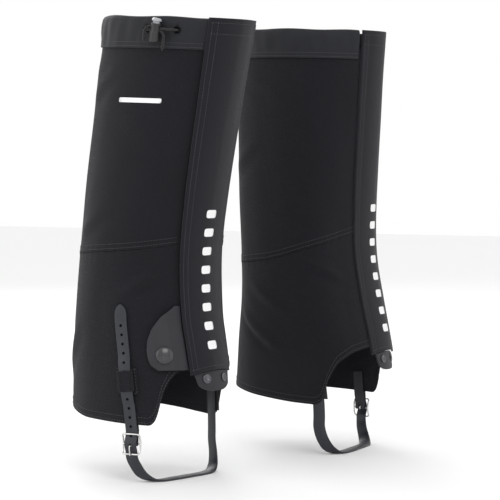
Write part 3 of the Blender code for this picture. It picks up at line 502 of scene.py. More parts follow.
# --- Collar -------------------------------------------------------------------------------------
# Smooth cloth folded over and sewn down as the drawcord's tunnel. The cord gathers it into small
# radial puckers round the two eyelets, and soft ones all the way round the rim.
COLLAR_OUTSIDE = ((2.8, -31), (2.8, -23), (3.3, -17), (3.6, -10), (3.4, -4), (2.2, -0.9), (0.6, 0),
                  (-1.2, -0.9), (-2.4, -4), (-2.4, -18), (-1.6, -22), (-1.6, -27))
COLLAR_INSIDE = ((-0.4, -27), (-0.4, -22.5), (-1.2, -18), (-1.2, -4.5), (-0.4, -2.4), (0.6, -1.6),
                 (1.6, -2.4), (2.4, -4.5), (2.4, -18), (1.6, -23.3), (1.6, -31))
EYELET_BORE = 2.5 * MM


def gather(side, degrees, down):
    """How far the collar's outer skin stands out or in, in metres: puckers that fan from the eyelets."""
    depth = np.clip(-down / 31.0, 0.0, 1.0)
    swell = np.sin(pi * depth)
    pucker = 0.55 * np.sin(np.radians(13 * degrees) + 3.0 * depth)
    pucker = pucker + 0.35 * np.sin(np.radians(29 * degrees) - 2 * depth)
    for eyelet in EYELET_ANGLES:
        aside = (degrees - eyelet) * ROUND_A_DEGREE / MM
        below = down + 13.0
        away = np.hypot(aside, below)
        fan = np.sin(5 * np.arctan2(below, aside)) * np.exp(-(((away - 8.5) / 4.5) ** 2))
        pucker = pucker + 0.75 * fan
    calm = 1.0
    for eyelet in EYELET_ANGLES:
        calm = calm * (1 - np.exp(-(((degrees - eyelet) / 4.6) ** 4) - ((down + 13) / 5.5) ** 4))
    ends = ease(degrees, 31, 38) * (1 - ease(degrees, 322, 329))
    return pucker * swell * calm * ends * MM


def hidden_cutter(piece):
    """A piece that only cuts another, never shown."""
    piece.hide_render = True
    piece.hide_viewport = True
    return piece


def apply_modifiers(piece):
    """The piece's modifiers made part of its plain mesh."""
    evaluated = piece.evaluated_get(bpy.context.evaluated_depsgraph_get())
    mesh = bpy.data.meshes.new_from_object(evaluated)
    piece.modifiers.clear()
    old, piece.data = piece.data, mesh
    bpy.data.meshes.remove(old)
    return piece


def turned(name, seat, profile, material, sides=40):
    """A round piece on the seat's outward axis. The profile runs as (radius, out) points."""
    points, rings = [], []
    for radius, out in profile:
        if radius == 0:
            rings.append([len(points)])
            points.append(seat.at(0, 0, out))
            continue
        rings.append(list(range(len(points), len(points) + sides)))
        for k in range(sides):
            angle = 2 * pi * k / sides
            points.append(seat.at(radius * cos(angle), radius * sin(angle), out))
    faces = []
    pairs = list(zip(rings, rings[1:]))
    if len(rings[0]) > 1:
        pairs.append((rings[-1], rings[0]))
    for first, second in pairs:
        for k in range(sides):
            m = (k + 1) % sides
            corners = [first[k % len(first)], first[m % len(first)],
                       second[m % len(second)], second[k % len(second)]]
            faces.append(tuple(dict.fromkeys(corners)))
    return new_piece(name, points, faces, material, 35.0)


def swept(name, sections, material, uvs=None, closed=False, smooth_angle=40.0):
    """A body through rings of points, with flat ends unless the rings close on themselves."""
    rings, count = len(sections), len(sections[0])
    faces = []
    for i in range(rings if closed else rings - 1):
        j = (i + 1) % rings
        for k in range(count):
            m = (k + 1) % count
            faces.append((i * count + k, j * count + k, j * count + m, i * count + m))
    if not closed:
        faces.append(tuple(range(count)))
        faces.append(tuple((rings - 1) * count + k for k in reversed(range(count))))
    points = [point for section in sections for point in section]
    return new_piece(name, points, faces, material, smooth_angle, uvs)


collar_cloth = cloth("collar_cloth", (0.0062, 0.0068, 0.0098), (0.0100, 0.0108, 0.0148), 0.8 * MM, 0.66,
                     thread=0.35, bump=0.35, sheen=0.08, specular=0.28)
for side in SIDES:
    outline = np.array(COLLAR_OUTSIDE + COLLAR_INSIDE)
    outer = len(COLLAR_OUTSIDE)
    around = np.concatenate([[0.0], np.cumsum(np.hypot(*np.diff(outline, axis=0).T))]) * MM
    sections, uvs = [], []
    for degrees in np.linspace(30, 330, 420):
        down = outline[:, 1]
        facing = np.where(outline[:, 0] > 0.7, 1.0, -0.35)
        out = outline[:, 0] * MM + gather(side, degrees, down) * facing
        rim = 0.5 * MM * np.sin(np.radians(7 * degrees)) * np.clip(1 + down / 8.0, 0, 1)
        height = RIM + down * MM + rim - 0.5 * MM * np.clip(1 + down / 8.0, 0, 1)
        sections.append(spot(side, degrees, height, out))
        uvs += [(ROUND_A_DEGREE * degrees, place) for place in around]
    collar = swept(f"{side}_collar_tunnel", sections, collar_cloth, uvs)
    for which, degrees in zip(("front", "back"), EYELET_ANGLES):
        seat = Seat(side, degrees, CORD_HEIGHT, 3.4 * MM)
        wide = EYELET_BORE + 0.7 * MM
        profile = ((0, -2.4 * MM), (wide, -2.4 * MM), (wide, 3 * MM), (0, 3 * MM))
        cutter = hidden_cutter(turned(f"{side}_{which}_eyelet_cut", seat, profile, collar_cloth))
        cut = collar.modifiers.new(which, "BOOLEAN")
        cut.object = cutter
    apply_modifiers(collar)
    for which in ("front", "back"):
        bpy.data.objects.remove(bpy.data.objects[f"{side}_{which}_eyelet_cut"])
    settle(collar, f"{side}_gaiter", "collar_cloth", f"{side}_collar")

# --- Eyelets ------------------------------------------------------------------------------------
# Black enamelled brass rings, set through the collar's outer skin for the drawcord.


def rounded(profile, radius):
    """The profile with each inner corner turned by a small arc."""
    result = [profile[0]]
    for before, corner, after in zip(profile, profile[1:], profile[2:]):
        before, corner, after = np.array(before), np.array(corner), np.array(after)
        sizes = [np.linalg.norm(before - corner), np.linalg.norm(after - corner)]
        cut = min(radius, 0.45 * min(sizes))
        start = corner + (before - corner) * cut / sizes[0]
        end = corner + (after - corner) * cut / sizes[1]
        for f in (0.0, 0.35, 0.65, 1.0):
            result.append(tuple((1 - f) ** 2 * start + 2 * f * (1 - f) * corner + f * f * end))
    result.append(profile[-1])
    return result


# Rubbed edges and hairline scratches: fine streaks that brighten and smooth a hard surface.
rub, given, result = group("rub", [("Place", "NodeSocketVector", (0, 0, 0)),
                                   ("Size", "NodeSocketFloat", 0.004)],
                           ["Streaks", "Grain"])
stretched_place = node(rub, "ShaderNodeMapping", {}, {
    "Vector": given.outputs["Place"], "Scale": (1.0, 1.0, 0.18)})
fine = maths(rub, "DIVIDE", 1.0, given.outputs["Size"])
streaks = node(rub, "ShaderNodeTexNoise", {}, {
    "Vector": stretched_place.outputs[0], "Scale": fine, "Detail": 5.0})
sharper = node(rub, "ShaderNodeMapRange", {}, {
    "Value": streaks.outputs["Fac"], "From Min": 0.48, "From Max": 0.72})
rub.links.new(sharper.outputs["Result"], result.inputs["Streaks"])
grain = node(rub, "ShaderNodeTexNoise", {}, {
    "Vector": given.outputs["Place"], "Scale": 2600.0, "Detail": 2.0})
rub.links.new(grain.outputs["Fac"], result.inputs["Grain"])


def hard(name, colour, rubbed, roughness, rubbed_roughness, metallic=0.0, grain=0.0, size=0.004, **uniform):
    """Metal, moulded plastic or rubber: its own colour, worn towards a second one in fine streaks."""
    material, tree, shader = shaded(name, roughness, metallic, **uniform)
    where = node(tree, "ShaderNodeTexCoord", {}, {})
    worn = node(tree, "ShaderNodeGroup", {"node_tree": rub}, {"Place": where.outputs["Object"], "Size": size})
    tint = node(tree, "ShaderNodeMix", {"data_type": "RGBA"}, {"Factor": worn.outputs["Streaks"]})
    tint.inputs["A"].default_value, tint.inputs["B"].default_value = (*colour, 1.0), (*rubbed, 1.0)
    tree.links.new(tint.outputs["Result"], shader.inputs["Base Color"])
    dull = node(tree, "ShaderNodeMix", {}, {
        "Factor": worn.outputs["Streaks"], "A": roughness, "B": rubbed_roughness})
    tree.links.new(dull.outputs["Result"], shader.inputs["Roughness"])
    relief = node(tree, "ShaderNodeBump", {}, {"Height": worn.outputs["Grain"], "Strength": grain,
                                               "Distance": 0.1 * MM})
    tree.links.new(relief.outputs["Normal"], shader.inputs["Normal"])
    return material


black_metal = hard("black_metal", (0.012, 0.012, 0.014), (0.06, 0.06, 0.065), 0.26, 0.38, metallic=0.9)
for side in SIDES:
    for which, degrees in zip(("front", "back"), EYELET_ANGLES):
        seat = Seat(side, degrees, CORD_HEIGHT, 3.6 * MM)
        bore, barrel, flange = EYELET_BORE, EYELET_BORE + 0.35 * MM, EYELET_BORE + 1.6 * MM
        profile = ((bore, -0.9 * MM), (bore, 0.75 * MM), (bore + 0.7 * MM, 1.25 * MM),
                   (flange - 0.35 * MM, 1.05 * MM),
                   (flange, 0.3 * MM), (barrel, 0.3 * MM), (barrel, -0.9 * MM))
        eyelet = turned(f"{side}_{which}_eyelet", seat, rounded(profile, 0.4 * MM), black_metal)
        settle(eyelet, f"{side}_gaiter", "black_metal", f"{side}_eyelet_{which}")

# --- Cord locks ---------------------------------------------------------------------------------
# A moulded barrel with a sprung button, coloured light grey all over as a painted highlight on the lock's
# domed top. Both are pierced across by a slot, which grips the two cords until the button is pressed.
LOCK_RADIUS = 5.0 * MM
LOCK_TRAVEL = 2.0 * MM
LOCK_BORE = 3.7 * MM
LOCK_TOP = 5.4 * MM
lock_plastic = hard("lock_plastic", (0.011, 0.011, 0.012), (0.030, 0.030, 0.032), 0.34, 0.48, grain=0.12)
# Painted highlight: the button's light grey base colour stands for the highlight on the lock's domed top.
button_plastic = hard("button_plastic", (0.30, 0.31, 0.33), (0.42, 0.43, 0.45), 0.16, 0.28, grain=0.04,
                      Coat_Weight=0.4)
bright_steel = hard("bright_steel", (0.66, 0.66, 0.65), (0.50, 0.50, 0.49), 0.17, 0.34, metallic=1.0)
for side in SIDES:
    lock = Seat(side, LOCK_ANGLE, CORD_HEIGHT, LOCK_OUT)
    upright = Seat(side, LOCK_ANGLE, CORD_HEIGHT, LOCK_OUT)
    upright.out, upright.up = lock.up, -lock.out
    low, radius, cap = -12.5 * MM, LOCK_RADIUS, LOCK_TOP + LOCK_TRAVEL + 0.3 * MM
    barrel_profile = ((0, low), (radius - 0.9 * MM, low), (radius, low + 1.0 * MM), (radius, -3.2 * MM),
                      (radius - 0.35 * MM, -2.9 * MM), (radius - 0.35 * MM, 2.9 * MM), (radius, 3.2 * MM),
                      (radius, LOCK_TOP), (LOCK_BORE, LOCK_TOP), (LOCK_BORE, -11 * MM), (0, -11 * MM))
    stem = LOCK_BORE - 0.3 * MM
    wide = radius - 0.2 * MM
    button_profile = ((0, -5.8 * MM), (stem, -5.8 * MM), (stem, cap), (wide, cap), (wide, cap + 1.5 * MM),
                      (wide - 1.2 * MM, cap + 2.7 * MM), (0, cap + 3.0 * MM))
    barrel = turned(f"{side}_lock_barrel", upright, rounded(barrel_profile, 0.45 * MM), lock_plastic)
    button = turned(f"{side}_lock_plunger", upright, rounded(button_profile, 0.5 * MM), button_plastic)
    half_slot = CORD_DIAMETER / 2 + 0.35 * MM
    for piece, rise in ((barrel, 0.0), (button, LOCK_TRAVEL)):
        outline = []
        for middle, start in ((PASS_STEP + rise, 0), (-PASS_STEP, pi)):
            for k in range(13):
                angle = start + pi * k / 12
                outline.append((half_slot * cos(angle), middle + half_slot * sin(angle)))
        ends = [[lock.at(reach, up, out) for out, up in outline] for reach in (-8 * MM, 8 * MM)]
        cutter = hidden_cutter(swept(f"{piece.name}_slot", ends, lock_plastic))
        cut = piece.modifiers.new("slot", "BOOLEAN")
        cut.object = cutter
        apply_modifiers(piece)
        bpy.data.objects.remove(cutter)
    settle(barrel, f"{side}_gaiter", "lock_plastic", f"{side}_cord_lock_body")
    settle(button, f"{side}_lock_button", "button_plastic", f"{side}_cord_lock_button")
    spring = frame["nodes"][f"{side}_cord_lock_spring"]
    spring.data.materials[0] = bright_steel
    heights = [(spring.matrix_world @ vertex.co - lock.point).dot(lock.up) for vertex in spring.data.vertices]
    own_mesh(spring)

# --- Hook and loop tapes ------------------------------------------------------------------------
# Nylon tapes, sewn facing each other on the front edge of the panels and inside the front flap. One
# is a field of small stiff hooks, and the other a mat of soft loops.
TAPE = 0.9 * MM
TAPE_ANGLES = (6, 22)
hook_pile = cloth("hook_pile", (0.007, 0.007, 0.008), (0.011, 0.011, 0.012), 1.5 * MM, 0.85,
                  thread=0.8, bump=1.0)
loop_pile = cloth("loop_pile", (0.009, 0.009, 0.010), (0.015, 0.015, 0.016), 0.7 * MM, 0.95,
                  thread=0.5, bump=1.0,
                  turn=radians(30))
for side in SIDES:
    degrees, share = np.meshgrid(np.linspace(*TAPE_ANGLES, 14), np.linspace(0, 1, 80), indexing="ij")
    z = 0.120 + (RIM - 33 * MM - 0.120) * share
    for name, body, out, material in (("hook", "gaiter", FABRIC + 0.3 * MM + TAPE / 2, hook_pile),
                                      ("loop", "front_flap", FABRIC + 0.66 * MM + 1.5 * TAPE, loop_pile)):
        tape = cloth_grid(f"{side}_{name}_tape_cloth", side, degrees, z, np.full(z.shape, out), TAPE,
                          material)
        settle(tape, f"{side}_{body}", f"{name}_pile", f"{side}_{name}_tape")

# --- Front flap ---------------------------------------------------------------------------------
# A long double strip of dense cloth, sewn down along its inner edge and pressed shut over the opening.
FLAP = 1.6 * MM
FLAP_HEIGHTS = (0.108, 0.200, 0.270, 0.450)
FLAP_OUTER_EDGE = (25.0, 25.5, 28.5, 34.0)
FLAP_INNER_EDGE = (-22.5, -23.5, -25.0, -27.0)
FLAP_END = 0.109
FLAP_END_RAKE = 0.35
joints = {joint["name"]: joint for joint in frame["joints"]}


def hinge(name):
    """A hinge's point and its axis, from the frame."""
    joint = joints[name]
    return Vector(joint["pos_m"]), Vector(joint["axis"]).normalized()


def flap_end(side, degrees):
    """The lower end of the front flap, cut square to the flap where the boot pushes it forward."""
    degrees = np.asarray(degrees, float)
    front = spot(side, 0, FLAP_END, 0) - spot(side, degrees, FLAP_END, 0)
    reach = np.hypot(front[..., 0], front[..., 1])
    return FLAP_END - FLAP_END_RAKE * reach * np.abs(np.sin(np.radians(degrees)))


def flap_lift(degrees):
    return np.interp(degrees, (-18, 4), (FABRIC + 0.51 * MM, FABRIC + 2 * TAPE + 1.65 * MM))


def flap_place(side, share, step):
    """A place on the front flap, as (angle, height, out): share runs from the sewn edge, step up it."""
    z = FLAP_END + (RIM - FLAP_END) * step
    outer, inner = through(z, FLAP_HEIGHTS, FLAP_OUTER_EDGE), through(z, FLAP_HEIGHTS, FLAP_INNER_EDGE)
    degrees = inner + (outer - inner) * share
    z = z + (flap_end(side, degrees) - FLAP_END) * (1 - step) ** 6
    wave = 0.30 * np.sin(37 * z + 2 * SIDES[side]["sign"]) + 0.18 * np.sin(90 * z) * (2 * share - 1)
    seam_step = 0.30 * np.exp(-(((share - 0.06) / 0.035) ** 4))
    seam_step = seam_step + 0.30 * np.exp(-(((share - 0.94) / 0.035) ** 4))
    calm = ease(step, 0.0, 0.06) * (1 - ease(step, 0.97, 1.0))
    return degrees, z, flap_lift(degrees) + FLAP / 2 + (wave * calm * share + 0.5 * seam_step) * MM


def bend_flap(side, piece):
    """The piece's transform is made part of its mesh; it is not bent with the flap."""
    place, axis = hinge(f"{side}_flap_open")
    across = Vector(spot(side, -12, 0.25, 0) - spot(side, -24, 0.25, 0))
    across = (across - axis * across.dot(axis)).normalized()
    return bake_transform(piece)


flap_cloth = cloth("flap_cloth", (0.0066, 0.0062, 0.0100), (0.0115, 0.0108, 0.0162), 1.1 * MM, 0.76,
                   thread=0.7, bump=0.75, sheen=0.1, specular=0.18)
for side in SIDES:
    share, step = np.meshgrid(np.linspace(0, 1, 44), np.linspace(0, 1, 190), indexing="ij")
    front_flap = cloth_grid(f"{side}_front_flap_cloth", side, *flap_place(side, share, step), FLAP,
                            flap_cloth)
    apply_modifiers(front_flap)
    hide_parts(f"{side}_front_flap")
    bend_flap(side, front_flap)

# --- Reflective bars ----------------------------------------------------------------------------
# Plain bars of white glass-bead film, pressed on in a column down the front flap, and one on the side.
BAR_SIZE = (13 * MM, 8 * MM)
BAR_COUNT = 8
BAR_HEIGHTS = (0.133, 0.262)
SIDE_BAR_SIZE = (44 * MM, 4.5 * MM)
film, tree, shader = shaded("reflective_film", 0.42, Coat_Weight=0.25)
where = node(tree, "ShaderNodeTexCoord", {}, {})
beads = node(tree, "ShaderNodeTexVoronoi", {}, {"Vector": where.outputs["Object"], "Scale": 4200.0})
bead_tint = node(tree, "ShaderNodeMix", {"data_type": "RGBA"}, {"Factor": beads.outputs["Distance"]})
bead_tint.inputs["A"].default_value = (0.88, 0.88, 0.87, 1)
bead_tint.inputs["B"].default_value = (0.70, 0.70, 0.71, 1)
tree.links.new(bead_tint.outputs["Result"], shader.inputs["Base Color"])
relief = node(tree, "ShaderNodeBump", {}, {"Height": beads.outputs["Distance"], "Strength": 0.3,
                                           "Distance": 0.1 * MM})
tree.links.new(relief.outputs["Normal"], shader.inputs["Normal"])


def bars(name, places, size, material):
    """Rounded bars of film that follow the cloth. place(x, y) is a point, in metres across and up a bar."""
    points, faces = [], []
    half_wide, half_tall = size[0] / 2, size[1] / 2
    corner = 0.28 * size[1]
    for place in places:
        rows = []
        for y in np.concatenate([-half_tall + corner * np.array((0, 0.12, 0.4, 1.0)),
                                 half_tall - corner * np.array((1.0, 0.4, 0.12, 0))]):
            inset = max(0.0, corner - (half_tall - abs(y)))
            wide = half_wide - corner + np.sqrt(max(corner**2 - inset**2, 0.0))
            rows.append([place(x * wide, y) for x in np.linspace(-1, 1, 9)])
        first = len(points)
        points += [point for row in rows for point in row]
        for i in range(len(rows) - 1):
            for k in range(8):
                a = first + 9 * i + k
                faces.append((a, a + 1, a + 10, a + 9))
    made = new_piece(name, points, faces, material, 50.0)
    solid = made.modifiers.new("film", "SOLIDIFY")
    solid.thickness = 0.22 * MM
    solid.offset = 0.0
    return apply_modifiers(made)


for side in SIDES:
    places = []
    for height in np.linspace(*BAR_HEIGHTS, BAR_COUNT):
        def on_flap(x, y, height=height):
            share = 0.52 + x / (ROUND_A_DEGREE * 52)
            degrees, z, out = flap_place(side, share, (height + y - FLAP_END) / (RIM - FLAP_END))
            return spot(side, degrees, z, out + FLAP / 2 + 0.06 * MM)
        places.append(on_flap)
    column = bars(f"{side}_flap_bars", places, BAR_SIZE, film)
    settle(column, f"{side}_front_flap", "flap_cloth")

    def on_side(x, y):
        degrees, z = 78 - x / ROUND_A_DEGREE, 0.371 + y
        return spot(side, degrees, z, panel_out(side, degrees, z, seam(degrees)) + FABRIC / 2 + 0.08 * MM)
    settle(bars(f"{side}_side_bar", [on_side], SIDE_BAR_SIZE, film), f"{side}_gaiter", "canvas")

# --- Snap flaps and snaps -----------------------------------------------------------------------
# A rounded tab of rubber-coated cloth under the front flap's lower corner, held shut by a ring snap: a
# black cap and socket on the tab, and a stud and post through the panel.
SNAP_ANGLE = 42.0
SNAP_HEIGHT = 0.1247
SNAP_OUT = 5.4 * MM
SNAP_LEVELS = (0.110, 0.114, 0.120, 0.128, 0.138, 0.150, 0.162, 0.172)
SNAP_REACHES = (47.0, 52.0, 53.6, 54.0, 52.8, 48.5, 41.0, 30.0)
coated_rubber = hard("coated_rubber", (0.0055, 0.0055, 0.0095), (0.013, 0.013, 0.018), 0.54, 0.64, grain=0.35,
                     size=0.010)
snap_plastic = hard("snap_plastic", (0.016, 0.016, 0.019), (0.040, 0.040, 0.044), 0.24, 0.36, grain=0.05,
                    Coat_Weight=0.3)


def snap_reach(z):
    steps = np.linspace(-2.0, 2.0, 7) * MM
    levels = [np.maximum(z + step, SNAP_LEVELS[0]) for step in steps]
    return sum(np.interp(level, SNAP_LEVELS, SNAP_REACHES) for level in levels) / 7


for side in SIDES:
    share, rise = np.meshgrid(np.linspace(0, 1, 34), np.linspace(0, 1, 60), indexing="ij")
    z = SNAP_LEVELS[0] + (SNAP_LEVELS[-1] - SNAP_LEVELS[0]) * rise
    inner = through(z, FLAP_HEIGHTS, FLAP_OUTER_EDGE) + 0.6
    degrees = inner + (snap_reach(z) - inner) * share
    out = np.interp(degrees, (26, 37, 47, 54), (2.9, 5.4, 5.4, 4.4)) * MM
    tab = cloth_grid(f"{side}_snap_tab", side, degrees, z, out, FLAP, coated_rubber)
    soften = tab.modifiers.new("edge", "BEVEL")
    soften.width = 0.4 * MM
    soften.segments = 2
    soften.angle_limit = radians(50)
    apply_modifiers(tab)
    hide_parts(f"{side}_snap_flap")
    place, axis = hinge(f"{side}_snap_flap_lift")
    across = Vector(spot(side, 34, 0.14, 0) - spot(side, 26, 0.14, 0))
    across = (across - axis * across.dot(axis)).normalized()
    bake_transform(tab)
    face, under = FLAP / 2 + 0.3 * MM, -FLAP / 2 - 0.45 * MM
    cap = ((0, -0.7 * MM), (1.2 * MM, -0.7 * MM), (1.2 * MM, face), (8.0 * MM, face),
           (8.6 * MM, face + 0.5 * MM),
           (8.2 * MM, face + 1.6 * MM), (6.6 * MM, face + 2.6 * MM), (4.4 * MM, face + 3.3 * MM),
           (2.2 * MM, face + 3.7 * MM), (0, face + 3.8 * MM))
    socket = ((0, under - 0.5 * MM), (4.3 * MM, under - 0.5 * MM), (4.3 * MM, under - 1.9 * MM),
              (6.0 * MM, under - 1.9 * MM), (6.0 * MM, under), (0, under))
    stud = ((0, -1.9 * MM), (1.2 * MM, -1.9 * MM), (1.2 * MM, 0.3 * MM), (5.5 * MM, 0.3 * MM),
            (5.5 * MM, 0.9 * MM),
            (2.0 * MM, 0.9 * MM), (2.3 * MM, 1.9 * MM), (1.6 * MM, 2.3 * MM), (0, 2.3 * MM))
    low = -FABRIC - 0.9 * MM
    post = ((0, low - 0.9 * MM), (5.0 * MM, low - 0.9 * MM), (5.5 * MM, low - 0.4 * MM), (5.5 * MM, low),
            (1.6 * MM, low), (1.6 * MM, low - 0.5 * MM), (0, low - 0.5 * MM))
    for name, profile, out, body, material, slot in (
            ("cap", cap, SNAP_OUT, "snap_flap", snap_plastic, "snap_plastic"),
            ("socket", socket, SNAP_OUT, "snap_flap", black_metal, "black_metal"),
            ("stud", stud, FABRIC, "gaiter", black_metal, "black_metal"),
            ("post", post, FABRIC, "gaiter", black_metal, "black_metal")):
        seat = Seat(side, SNAP_ANGLE, SNAP_HEIGHT, out)
        piece = turned(f"{side}_snap_{name}_part", seat, rounded(profile, 0.5 * MM), material, 56)
        settle(piece, f"{side}_{body}", slot, f"{side}_snap_{name}")

# --- Lace tabs ----------------------------------------------------------------------------------
# A tapered tab of rubber-coated cloth below the front flap. Two dished rivets hold a steel hook behind
# it, which catches the boot's lowest lace and holds the gaiter's front down.
LACE_TAB_ANGLES = (21.0, -18.0)
LACE_TAB_END = 0.0885
RIVET_ANGLES = (11.0, -9.0)
RIVET_HEIGHT = 0.1005
dark_nickel = hard("dark_nickel", (0.11, 0.11, 0.12), (0.20, 0.20, 0.21), 0.16, 0.30, metallic=1.0)
for side in SIDES:
    share, step = np.meshgrid(np.linspace(0, 1, 46), np.linspace(0, 1, 30), indexing="ij")
    wide = LACE_TAB_ANGLES[0] + (LACE_TAB_ANGLES[1] - LACE_TAB_ANGLES[0]) * share
    top = flap_end(side, wide) - 0.8 * MM
    low = LACE_TAB_END + 5.5 * MM * np.abs(2 * share - 1) ** 3
    z = low + (top - low) * step
    lace_tab = cloth_grid(f"{side}_lace_tab_rubber", side, wide * (1 - 0.12 * (1 - step)), z,
                          np.full(z.shape, FABRIC + 1.0 * MM), 1.8 * MM, coated_rubber)
    soften = lace_tab.modifiers.new("edge", "BEVEL")
    soften.width = 0.45 * MM
    soften.segments = 2
    soften.angle_limit = radians(50)
    apply_modifiers(lace_tab)
    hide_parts(f"{side}_lace_tab")
    place, axis = hinge(f"{side}_lace_tab_lift")
    down = Seat(side, 1.5, RIVET_HEIGHT, FABRIC).up * -1
    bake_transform(lace_tab)
    for degrees, name, radius in zip(RIVET_ANGLES, ("outer", "inner"), (4.9 * MM, 4.4 * MM)):
        profile = ((0, 0.9 * MM), (1.3 * MM, 0.92 * MM), (2.0 * MM, 1.35 * MM), (radius - 1.2 * MM, 2.0 * MM),
                   (radius - 0.3 * MM, 1.85 * MM), (radius, 1.4 * MM), (radius - 0.4 * MM, 1.05 * MM),
                   (1.4 * MM, 1.0 * MM), (1.4 * MM, -2.6 * MM), (0, -2.6 * MM))
        seat = Seat(side, degrees, RIVET_HEIGHT, FABRIC + 1.0 * MM)
        rivet = turned(f"{side}_{name}_rivet", seat, rounded(profile, 0.5 * MM), dark_nickel, 48)
        settle(rivet, f"{side}_lace_tab", "dark_nickel", f"{side}_lace_rivet_{name}")
    frame["nodes"][f"{side}_lace_hook"].data.materials[0] = bright_steel

# --- Instep straps ------------------------------------------------------------------------------
# One moulded rubber strap with a row of punched holes and a pointed tip. It runs down the outer side,
# through the keeper and the buckle, under the boot's arch, and up to where it is sewn inside the hem.
STRAP = 1.8 * MM
STRAP_WIDTH = 12.5 * MM
STRAP_TIP = 0.169
STRAP_HOLE = 1.7 * MM
HOLE_STEP = 8.9 * MM
HOLE_COUNT = 14
KEEPER_HEIGHT = 0.099
KEEPER_LENGTH = 20 * MM
BUCKLE_HEIGHT = 0.038
BUCKLE_HALF = (9.3 * MM, 9.8 * MM)
STRAP_OUT = 2.9 * MM


def strap_lift(z):
    """How far out the strap's middle lies: on the panel, then over the keeper's base and the buckle's bar."""
    keeper = np.maximum(0.0, 1 - (np.abs(z - KEEPER_HEIGHT) / (1.2 * KEEPER_LENGTH)) ** 4)
    buckle = np.maximum(0.0, 1 - ((z - BUCKLE_HEIGHT) / BUCKLE_HALF[1]) ** 2) ** 2
    return STRAP_OUT + 2.1 * MM * keeper + 3.0 * MM * buckle


def strap_path(side):
    """The strap's middle line: from its tip down the outer side, under the arch, up inside the inner hem."""
    levels = np.concatenate([np.linspace(STRAP_TIP + 4.5 * MM, 0.066, 24), np.linspace(0.062, 0.0265, 18)])
    path = [spot(side, STRAP_ANGLE, z, strap_lift(z)) for z in levels]
    arch = ((0.0345, 0.0610, 0.0170), (0.0385, 0.0560, 0.0080),
            (0.0430, 0.0480, 0.0026), (0.0470, 0.0380, STRAP / 2))
    path += [to_world(side, *point) for point in arch]
    path += [to_world(side, 0.0490, across, STRAP / 2) for across in (0.020, 0.0, -0.020)]
    path += [to_world(side, point[0], -point[1] + 0.0045, point[2]) for point in reversed(arch)]
    path += [spot(side, -STRAP_ANGLE, z, -3.0 * MM) for z in (0.030, 0.042, 0.056, 0.070, 0.084)]
    return smooth_path(path, 1.6 * MM)[0]


def band(name, path, ways, widths, thickness, material):
    """A flat strap with rounded edges along a path, with a width at each point, and UVs in metres."""
    sections, uvs, along = [], [], 0.0
    corner = 0.42 * thickness
    for i, point in enumerate(path):
        ahead = Vector(path[min(i + 1, len(path) - 1)] - path[max(i - 1, 0)]).normalized()
        wide = (ways[i] - ahead * ways[i].dot(ahead)).normalized()
        thick = ahead.cross(wide)
        along += float(np.linalg.norm(path[i] - path[i - 1])) if i else 0.0
        section = []
        for sign_x, sign_y, start in ((1, 1, 0), (-1, 1, 90), (-1, -1, 180), (1, -1, 270)):
            for degrees in (start, start + 30, start + 60, start + 90):
                angle = radians(degrees)
                x = sign_x * (max(widths[i] / 2 - corner, 0.0)) + corner * cos(angle)
                y = sign_y * (thickness / 2 - corner) + corner * sin(angle)
                section.append(Vector(point) + wide * x + thick * y)
                uvs.append((x, along))
        sections.append(section)
    return swept(name, sections, material, uvs, smooth_angle=50.0)


# A row of round holes: one cutter at each point, turned to face out of the strap, and cut away.
punching = bpy.data.node_groups.new("punching", "GeometryNodeTree")
for label, kind in (("Strap", "NodeSocketGeometry"), ("Places", "NodeSocketObject"),
                    ("Radius", "NodeSocketFloat"), ("Depth", "NodeSocketFloat"),
                    ("Finish", "NodeSocketMaterial")):
    punching.interface.new_socket(label, in_out="INPUT", socket_type=kind)
punching.interface.new_socket("Punched", in_out="OUTPUT", socket_type="NodeSocketGeometry")
given, result = punching.nodes.new("NodeGroupInput"), punching.nodes.new("NodeGroupOutput")
places = node(punching, "GeometryNodeObjectInfo", {}, {"Object": given.outputs["Places"]})
facing = node(punching, "GeometryNodeInputNamedAttribute", {"data_type": "FLOAT_VECTOR"}, {"Name": "facing"})
turn = node(punching, "FunctionNodeAlignRotationToVector", {"axis": "Z"}, {
    "Vector": facing.outputs["Attribute"]})
punch = node(punching, "GeometryNodeMeshCylinder", {}, {"Vertices": 18, "Radius": given.outputs["Radius"],
                                                        "Depth": given.outputs["Depth"]})
punches = node(punching, "GeometryNodeInstanceOnPoints", {}, {
    "Points": places.outputs["Geometry"], "Instance": punch.outputs["Mesh"], "Rotation": turn.outputs[0]})
real = node(punching, "GeometryNodeRealizeInstances", {}, {"Geometry": punches.outputs[0]})
holed = node(punching, "GeometryNodeMeshBoolean", {"operation": "DIFFERENCE"}, {
    "Mesh 1": given.outputs["Strap"], "Mesh 2": real.outputs[0]})
finished = node(punching, "GeometryNodeSetMaterial", {}, {
    "Geometry": holed.outputs["Mesh"], "Material": given.outputs["Finish"]})
punching.links.new(finished.outputs[0], result.inputs["Punched"])


def set_input(modifier, label, value):
    """Sets a geometry tree's named input on its modifier, by the socket's identifier."""
    for item in modifier.node_group.interface.items_tree:
        if item.item_type == "SOCKET" and item.in_out == "INPUT" and item.name == label:
            modifier[item.identifier] = value


def places_with_facing(name, points, edges, facings):
    """Points, and the edges between them, that each hold the way they face."""
    mesh = bpy.data.meshes.new(name)
    mesh.from_pydata([tuple(point) for point in points], edges, [])
    attribute = mesh.attributes.new("facing", "FLOAT_VECTOR", "POINT")
    attribute.data.foreach_set("vector", np.asarray([tuple(way) for way in facings], np.float32).ravel())
    made = bpy.data.objects.new(name, mesh)
    bpy.context.scene.collection.objects.link(made)
    return made


